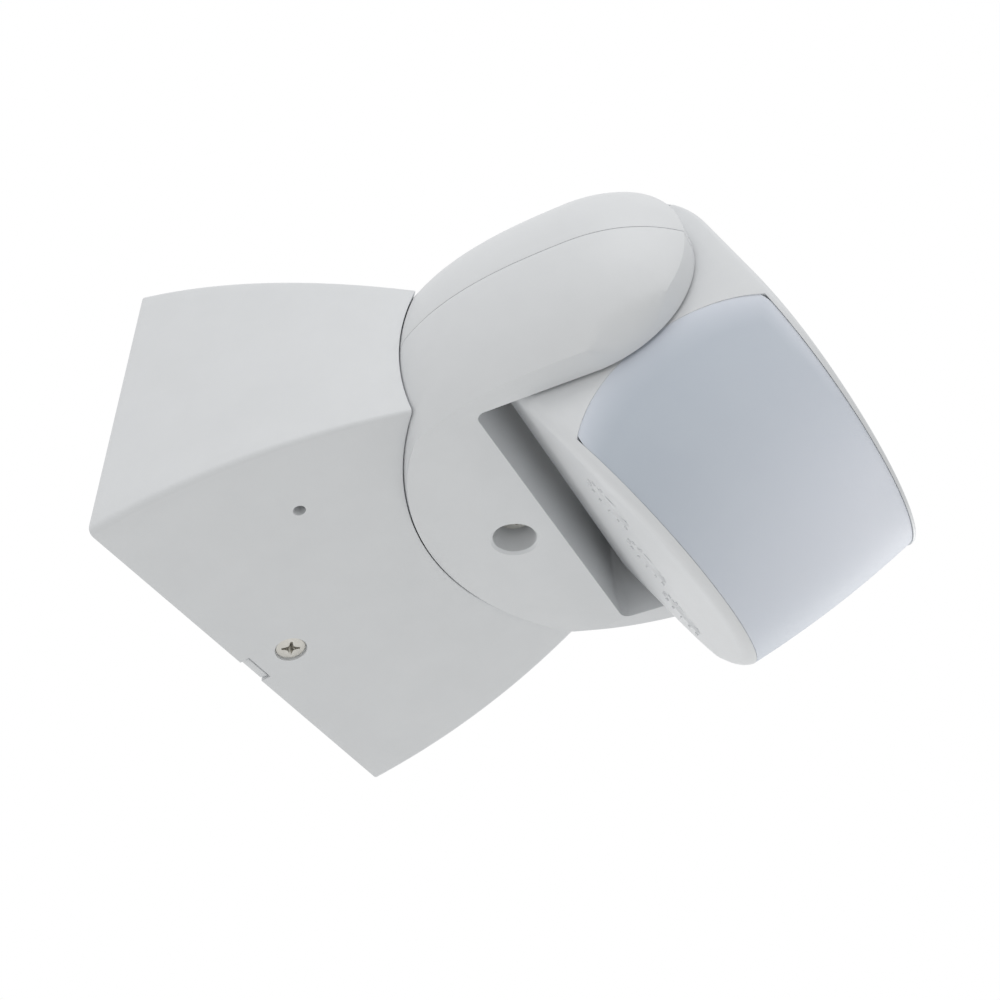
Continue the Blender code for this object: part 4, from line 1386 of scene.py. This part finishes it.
        bends = spread(0, math.pi / 2, 6)
        rows = [[edge(station, turn, False) for station in stations] for turn in bends]
        bottom, top = rows[-1], [edge(station, bends[-1], True) for station in stations]
        up, across = 14, 20  # Steps up the side and across the head.
        for i in range(1, up):
            rows.append([
                tuple(a + (b - a) * i / up for a, b in zip(low, high)) for low, high in zip(bottom, top)
            ])
        rows += [[edge(station, turn, True) for station in stations] for turn in bends[::-1]]
        sheets = [rows]
        back_rows = []
        for row in (rows[0], rows[-1]):
            lid = []
            for i in range(middle + 1):
                left, right = row[i], row[-1 - i]
                lid.append([(x, *left[1:]) for x in spread(left[0], right[0], across)])
            sheets.append(lid)
            back_rows.append(lid[0])
        right_side = [row[-1] for row in rows]
        left_side = [row[0] for row in rows]
        rear = back_rows[0] + right_side[1:] + back_rows[1][-2::-1] + left_side[-2:0:-1]
        return bench.sew(name, sheets, [rear], self.place)

    def rear_solid(
        self, bench: Bench, name: str, inset: float, back: float, rounding: float,
    ) -> bpy.types.Object:
        """The rear cover's outer or inner form as a closed solid.

        Args:
            bench: The mesh tools.
            name: Name of the piece.
            inset: Distance inside the outer skin.
            back: Its flat front end, behind the axis.
            rounding: Rounding of its side edges.

        Returns:
            The solid.
        """
        half = self.half_width - inset
        bends = spread(0, math.pi / 2, 6)[::-1]
        levels = [(half - rounding * (1 - math.sin(t)), rounding * (1 - math.cos(t))) for t in bends]
        flat_steps = 12
        across = [(-x, step) for x, step in levels]
        across += [(levels[-1][0] * (2 * i / flat_steps - 1), 0.0) for i in range(1, flat_steps)]
        across += levels[::-1]
        rings = []
        for x, step in across:
            radius = self.radius - inset - step
            span = math.acos(back / radius)
            bow = arc((0, self.rise), radius, -span, span, 40)
            rings.append([(x, y, z) for y, z in bow])
        flat = [ring[0] for ring in rings] + [ring[-1] for ring in rings[::-1]]
        return bench.sew(name, [rings], [rings[0], rings[-1], flat], self.place)

    def lens_border(self, high: float) -> float:
        """The lens's rear border, which is a bow between its corners.

        Args:
            high: Height above the axis.

        Returns:
            Its distance forward.
        """
        top, bottom = self.lens_top[0], self.lens_bottom[0]
        middle, half = (top - bottom) / 2, (top + bottom) / 2
        bulge = self.border[1] - self.border[0]
        radius = (half ** 2 + bulge ** 2) / (2 * bulge)
        return self.border[0] + radius - math.sqrt(max(radius ** 2 - (high - middle) ** 2, 0))

    def lens_edge(self, forward: float, side: Flat) -> float:
        """How far the lens's top or bottom edge lies from the axis, at a distance forward."""
        share = (forward - self.border[1]) / (self.length - self.border[1])
        return side[0] + (side[1] - side[0]) * share

    def build_case(self, bench: Bench) -> None:
        """Makes the front case with its openings.

        Args:
            bench: The mesh tools.
        """
        case = self.case_solid(bench, "head_front_case_skin", 0, self.split_gap - self.split)
        far = 3 * self.half_width
        heights = spread(-self.lens_bottom[0], self.lens_top[0], 40)
        outline = [(-self.lens_border(high), high) for high in heights]
        ahead = 2 * self.length - self.border[1]
        outline += [
            (-ahead, self.lens_edge(ahead, self.lens_top)),
            (-ahead, -self.lens_edge(ahead, self.lens_bottom)),
        ]
        # Local X, Y and Z of the outline run backward, up and across.
        sideways = Matrix(((0, 0, 1, 0), (1, 0, 0, 0), (0, 1, 0, 0), (0, 0, 0, 1)))
        window = bench.slab("lens_window", outline, -far, far, self.place @ sideways)
        hollow = self.case_solid(bench, "case_hollow", self.wall, -self.split - 2 * MM)
        pivot = bench.pin(
            "pivot_way", self.pivot_bore, (-far, far), facing((0, -self.pivot_depth, 0), (1, 0, 0)),
        )
        mouths = []
        hole, deep, flare = self.dial_radius + self.dial_play, 2 * self.wall, 0.35 * MM
        wide = hole + 0.7 * MM
        for place in (-1, 0, 1):
            mouths.append(bench.turned(
                f"dial_mouth_{place}",
                [(0, deep), (hole, deep), (hole, flare), (wide, -flare), (wide, -MM), (0, -MM)],
                self.dial_place(place), steps=56,
            ))
        bench.cut(case, hollow, window, pivot, *mouths)
        bench.hand_over(case, Body.HEAD, Slot.HOUSING, "head_front_case", sharp=28)

    def dial_place(self, place: int) -> Matrix:
        """A dial's frame on the sloped underside: Z points into the case.

        Args:
            place: -1, 0 or 1 across the head.

        Returns:
            The frame.
        """
        turn = self.touch(self.radius, self.fold[0], self.fold[1] + self.rise)
        low = self.floor(self.dial_forward, 0)
        local = Matrix.Translation((place * self.dial_spacing, -self.dial_forward, low))
        return self.place @ local @ Matrix.Rotation(turn - math.pi / 2, 4, "X")

    def build_rear(self, bench: Bench) -> None:
        """Makes the rear cover with its sunk screw holes.

        Args:
            bench: The mesh tools.
        """
        outside, inside = self.rear_round
        rear = self.rear_solid(bench, "head_rear_cover_skin", 0, self.split, outside)
        hollow = self.rear_solid(bench, "rear_hollow", self.wall, self.split - 2 * MM, inside)
        bench.cut(rear, hollow)
        posts, sinks = [], []
        (off, high), (post, reach), (shank, head, seat) = self.rear_screw, self.rear_post, self.rear_sink
        far = 40 * MM
        backward = Matrix.Rotation(-math.pi / 2, 4, "X")
        for side in (-1, 1):
            at = self.place @ Matrix.Translation((side * off, 0, high)) @ backward
            posts.append(bench.pin(f"screw_post_{side}", post, (self.split, reach), at))
            sinks.append(bench.turned(
                f"screw_sink_{side}",
                [(0, -MM), (shank, -MM), (shank, seat), (head, seat), (head, far), (0, far)], at,
            ))
        bench.cut(rear, *posts, join=True)
        bench.cut(rear, *sinks)
        bench.hand_over(rear, Body.HEAD, Slot.HOUSING, "head_rear_cover")

    def lens_point(self, share: float, level: float, inset: float) -> Point:
        """A point of the lens sheet, found by closing in on its height.

        Args:
            share: From 0 at the left rear border to 1 at the right one.
            level: From 0 at the bottom to 1 at the top.
            inset: Distance inside the outer face.

        Returns:
            The point.
        """
        above, below, behind = self.lens_gaps
        snip_length, snip_depth = self.lens_snip
        bow = 1 - (2 * level - 1) ** 2
        high = x = forward = 0.0
        for _ in range(8):
            half = self.half_width - inset - self.barrel * (1 - bow)
            start = self.lens_border(high) + behind
            run = self.nose - start
            total = 2 * run + math.pi * half
            along = share * total
            from_end = min(along, total - along)
            half += self.swell * bow * smooth(from_end / self.swell_run)
            if along < run:
                x, forward = -half, start + along
            elif along > total - run:
                x, forward = half, start + total - along
            else:
                turn = math.pi - (along - run) / half
                x, forward = half * math.cos(turn), self.nose + half * math.sin(turn)
            snip = snip_depth * max(1 - from_end / snip_length, 0) ** 2
            top = self.lens_edge(forward, self.lens_top) - above - snip
            low = -self.lens_edge(forward, self.lens_bottom) + below + snip
            high = low + (top - low) * level
        return x, -forward, high

    def paleness(self, share: float, level: float) -> float:
        """How much painted light the lens gets: painted highlights at its border, along its tip and towards
        its top.

        Args:
            share: From 0 at the left rear border to 1 at the right one.
            level: From 0 at the bottom to 1 at the top.

        Returns:
            From 0 to 1.
        """
        # Painted light: a lighter band along the border, a painted highlight along the tip, and a lighter top
        # where light falls from above.
        reach = min(2.6 * share, 2.6 * (1 - share), 2.4 * (1 - level))
        rim = 0.55 * (1 - min(reach / 0.28, 1.0)) ** 2
        tip = (0.62 + 0.3 * level) * math.exp(-(((share - 0.5) / 0.25) ** 2))
        return min(max(rim, tip) + 0.22 * level ** 2, 1.0)

    def build_lens(self, bench: Bench) -> None:
        """Makes the lens sheet, wrapped round the nose.

        Args:
            bench: The mesh tools.
        """
        rows, cols = self.lens_grid
        outer, inner = (
            [[self.lens_point(i / cols, k / rows, inset) for i in range(cols + 1)] for k in range(rows + 1)]
            for inset in (0, self.lens_thickness)
        )
        sides = [
            [outer[0], inner[0]], [outer[-1], inner[-1]],
            [[row[0] for row in outer], [row[0] for row in inner]],
            [[row[-1] for row in outer], [row[-1] for row in inner]],
        ]
        lens = bench.sew("fresnel_lens_sheet", [outer, inner, *sides], place=self.place)
        found_again = 1e5  # Steps to a metre of the grid on which points of the outer face are found again.
        # The painted light goes onto the outer face's points as an attribute.
        marks = {}
        for k, row in enumerate(outer):
            for i, point in enumerate(row):
                spot = tuple(round(c * found_again) for c in self.place @ Vector(point))
                marks[spot] = self.paleness(i / cols, k / rows)
        border = lens.data.attributes.new("lens_painted_light", "FLOAT", "POINT")
        for vertex, value in zip(lens.data.vertices, border.data):
            value.value = marks.get(tuple(round(c * found_again) for c in vertex.co), 0.0)
        bench.hand_over(lens, Body.HEAD, Slot.LENS, "fresnel_lens")

    def build_dials(self, bench: Bench) -> None:
        """Makes the three slotted dials.

        Args:
            bench: The mesh tools.
        """
        radius, face, back = self.dial_radius, self.dial_sunk, self.wall - 0.3 * MM
        dish, edge, peg, end = face + 0.15 * MM, 0.3 * MM, 1.5 * MM, back + 0.6 * MM
        profile = [
            (0, dish), (0.72 * radius, dish), (0.78 * radius, face), (radius - edge, face),
            (radius, face + edge), (radius, back), (peg, back), (peg, end), (0, end),
        ]
        wide, deep = self.slit
        tail = 0.66 * radius
        neck, tip = 0.8 * tail, 1.1 * tail
        arrow = [(-wide, -tail), (wide, -tail), (wide, neck), (0, tip), (-wide, neck)]
        for place, name, body in ((-1, "lux", Body.LUX), (0, "time", Body.TIME), (1, "range", Body.RANGE)):
            at = self.dial_place(place)
            dial = bench.turned(f"{name}_dial_slotted", profile, at, steps=56)
            bench.cut(dial, bench.slab("slit", arrow, -MM, face + deep, at))
            bench.hand_over(dial, body, Slot.HOUSING, f"{name}_dial")

    def build(self, bench: Bench) -> None:
        """Makes the whole head.

        Args:
            bench: The mesh tools.
        """
        self.build_case(bench)
        self.build_rear(bench)
        self.build_lens(bench)
        self.build_dials(bench)
        tick = (0.8 * MM, 0.32 * MM, 0.6 * MM)
        scale = ArcOfBars(9, self.dial_radius + 1.6 * MM, math.radians(200), tick)
        places = [self.dial_place(place) for place in (-1, 0, 1)]
        scale.build(bench, "dial_scale_marks", Body.HEAD, Slot.HOUSING, places)
        inside = self.half_width - self.lens_thickness + 0.1 * MM
        rib = (1.0 * MM, 0.25 * MM, 24 * MM)
        segments = ArcOfBars(13, inside, math.radians(160), rib)
        ahead = Matrix.Translation((0, -self.nose, 0)) @ Matrix.Rotation(math.pi, 4, "Z")
        segments.build(bench, "lens_segment_ribs", Body.HEAD, Slot.LENS, [self.place @ ahead])


# ---------------------------------------------------------------- what the CAD already shows


# Pieces that keep their CAD form but get eased edges, with the width of the easing in millimetres.
EASED: dict[str, float] = {
    "mounting_plate": 0.15, "terminal_block": 0.3, "relay": 0.4, "film_capacitor": 0.6, "swivel_shoe": 0.3,
    "lux_pot": 0.2, "time_pot": 0.2, "range_pot": 0.2, "main_pcb": 0.12, "control_pcb": 0.12,
    "swivel_nut": 0.25, "tilt_nut_left": 0.2, "tilt_nut_right": 0.2, "electrolytic_capacitor": 0.4,
    "pir_detector": 0.25, "cable_grommet": 0.3,
}


def ease_edges(bench: Bench, name: str, slot: Slot, width: float) -> None:
    """Makes a copy of a CAD node with eased edges and hands it over in its place.

    Args:
        bench: The mesh tools.
        name: The CAD node.
        slot: Its material slot.
        width: Width of the easing.
    """
    node = frame["nodes"][name]
    mesh = node.data.copy()
    work = bmesh.new()
    work.from_mesh(mesh)
    bmesh.ops.remove_doubles(work, verts=work.verts, dist=2 * WELD)
    bmesh.ops.dissolve_limit(
        work, angle_limit=math.radians(0.5), verts=work.verts, edges=work.edges,
        use_dissolve_boundaries=False,
    )
    work.to_mesh(mesh)
    work.free()
    piece = bpy.data.objects.new(f"{name}_eased", mesh)
    bpy.context.scene.collection.objects.link(piece)
    bench.soften(piece, width, angle=50, steps=2)
    bench.hand_over(piece, Body(node.parent.name.split(":")[1]), slot, name)


def dress_carried_over(bench: Bench) -> None:
    """Gives the CAD nodes that keep their form the material of their slot, and eases some of their edges.

    Args:
        bench: The mesh tools.
    """
    for name, node in frame["nodes"].items():
        slot = Slot(node.data.materials[0].name.split(".")[0])
        node.data.materials.clear()
        node.data.materials.append(bench.materials[slot])
        if name in EASED:
            # The plate is moulded from the same plastic as the cover, as its tab in the notch shows.
            ease_edges(bench, name, Slot.HOUSING if name == "mounting_plate" else slot, EASED[name] * MM)


# ---------------------------------------------------------------- studio


@dataclass
class Studio:
    """Camera, soft lights and pale floor.

    Attributes:
        turn: The camera's turn as an axis times an angle: its rows look right, down and ahead.
        shift: The frame's origin as the camera sees it, in metres.
        lens: Focal length in millimetres for the sensor's width.
        sensor: Sensor width in millimetres.
        floor_low: Height of the floor.
        floor_half: Half its width.
        sky: Strength of the even light from all round.
        aim: What the lamps point at.
        lamps: Each soft box's name, place, width and power in watts.
    """

    turn: Point = (0.75534493, -0.49413432, 1.02913066)
    shift: Point = (-0.045677826, 0.009532029, 0.256768383)
    lens: float = 47.435
    sensor: float = 36.0
    floor_low: float = -0.85
    floor_half: float = 8.0
    sky: float = 0.735
    aim: Point = (0, -0.06, 0)
    lamps: tuple[tuple[str, Point, float, float], ...] = (
        ("key_softbox", (-0.65, -0.45, 0.5), 0.7, 2.0),
        ("right_softbox", (1.0, -0.3, 0.0), 0.6, 2.4),
        ("rear_softbox", (0.1, 0.8, -0.24), 0.4, 1.2),
    )

    def camera(self) -> None:
        """Places the camera where the photograph was taken from."""
        axis = Vector(self.turn)
        view = Matrix.Rotation(axis.length, 3, axis.normalized())
        right, down, ahead = view
        spot = -(view.transposed() @ Vector(self.shift))
        data = bpy.data.cameras.new("camera")
        data.lens, data.sensor_width, data.clip_start = self.lens, self.sensor, 0.01
        camera = bpy.data.objects.new("camera", data)
        turn = Matrix((right, -down, -ahead)).transposed().to_4x4()
        camera.matrix_world = Matrix.Translation(spot) @ turn
        bpy.context.scene.collection.objects.link(camera)
        bpy.context.scene.camera = camera

    def lamp(self, name: str, at: Point, size: float, power: float) -> None:
        """Adds one soft box.

        Args:
            name: Its name.
            at: Where it stands.
            size: Its width.
            power: Its power in watts.
        """
        data = bpy.data.lights.new(name, "AREA")
        data.shape, data.size, data.energy = "DISK", size, power
        lamp = bpy.data.objects.new(name, data)
        lamp.location = at
        lamp.rotation_euler = (Vector(self.aim) - Vector(at)).to_track_quat("-Z", "Y").to_euler()
        bpy.context.scene.collection.objects.link(lamp)

    def world(self) -> None:
        """Even light all round, seen as plain white behind the object and in what shines."""
        world = bpy.data.worlds.new("studio")
        world.use_nodes = True
        tree = world.node_tree
        tree.nodes.clear()
        ray = add_node(tree, "ShaderNodeLightPath").outputs
        straight = ray["Is Camera Ray"]
        for kind in ("Is Glossy Ray", "Is Transmission Ray"):
            either = add_node(tree, "ShaderNodeMath", {0: straight, 1: ray[kind]}, operation="MAXIMUM")
            straight = either.outputs[0]
        light = add_node(tree, "ShaderNodeBackground", {"Color": linear("FFFFFF"), "Strength": self.sky})
        plain = add_node(tree, "ShaderNodeBackground", {"Color": linear("FFFFFF"), "Strength": 1.0})
        mix = add_node(tree, "ShaderNodeMixShader", {
            0: straight, 1: light.outputs[0], 2: plain.outputs[0],
        })
        add_node(tree, "ShaderNodeOutputWorld", {"Surface": mix.outputs[0]})
        bpy.context.scene.world = world

    def floor(self) -> None:
        """Adds the pale floor far below."""
        mesh = bpy.data.meshes.new("floor")
        half, low = self.floor_half, self.floor_low
        corners = [(-half, -half, low), (half, -half, low), (half, half, low), (-half, half, low)]
        mesh.from_pydata(corners, [], [(0, 1, 2, 3)])
        paper = Finish("pale studio paper", "F2F2F1", "EFEFEE", (0.7, 0.8), 2 * MM, 0.01 * MM, 200 * MM)
        mesh.materials.append(paper.make())
        floor = bpy.data.objects.new("floor", mesh)
        bpy.context.scene.collection.objects.link(floor)

    def build(self) -> None:
        """Sets up the whole studio."""
        self.camera()
        self.world()
        self.floor()
        for lamp in self.lamps:
            self.lamp(*lamp)
        bpy.context.scene.view_settings.view_transform = "Standard"


def main() -> None:
    """Builds every piece in order."""
    logging.basicConfig(level=logging.INFO, format="%(message)s")
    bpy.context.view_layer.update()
    bench = Bench({slot: finish.make() for slot, finish in FINISHES.items()})
    dress_carried_over(bench)
    WallBase().build(bench)
    YokeFork().build(bench)
    LensHead().build(bench)
    Studio().build()
    LOG.info("%d pieces built", len(bench.done))


if __name__ == "__main__":
    main()
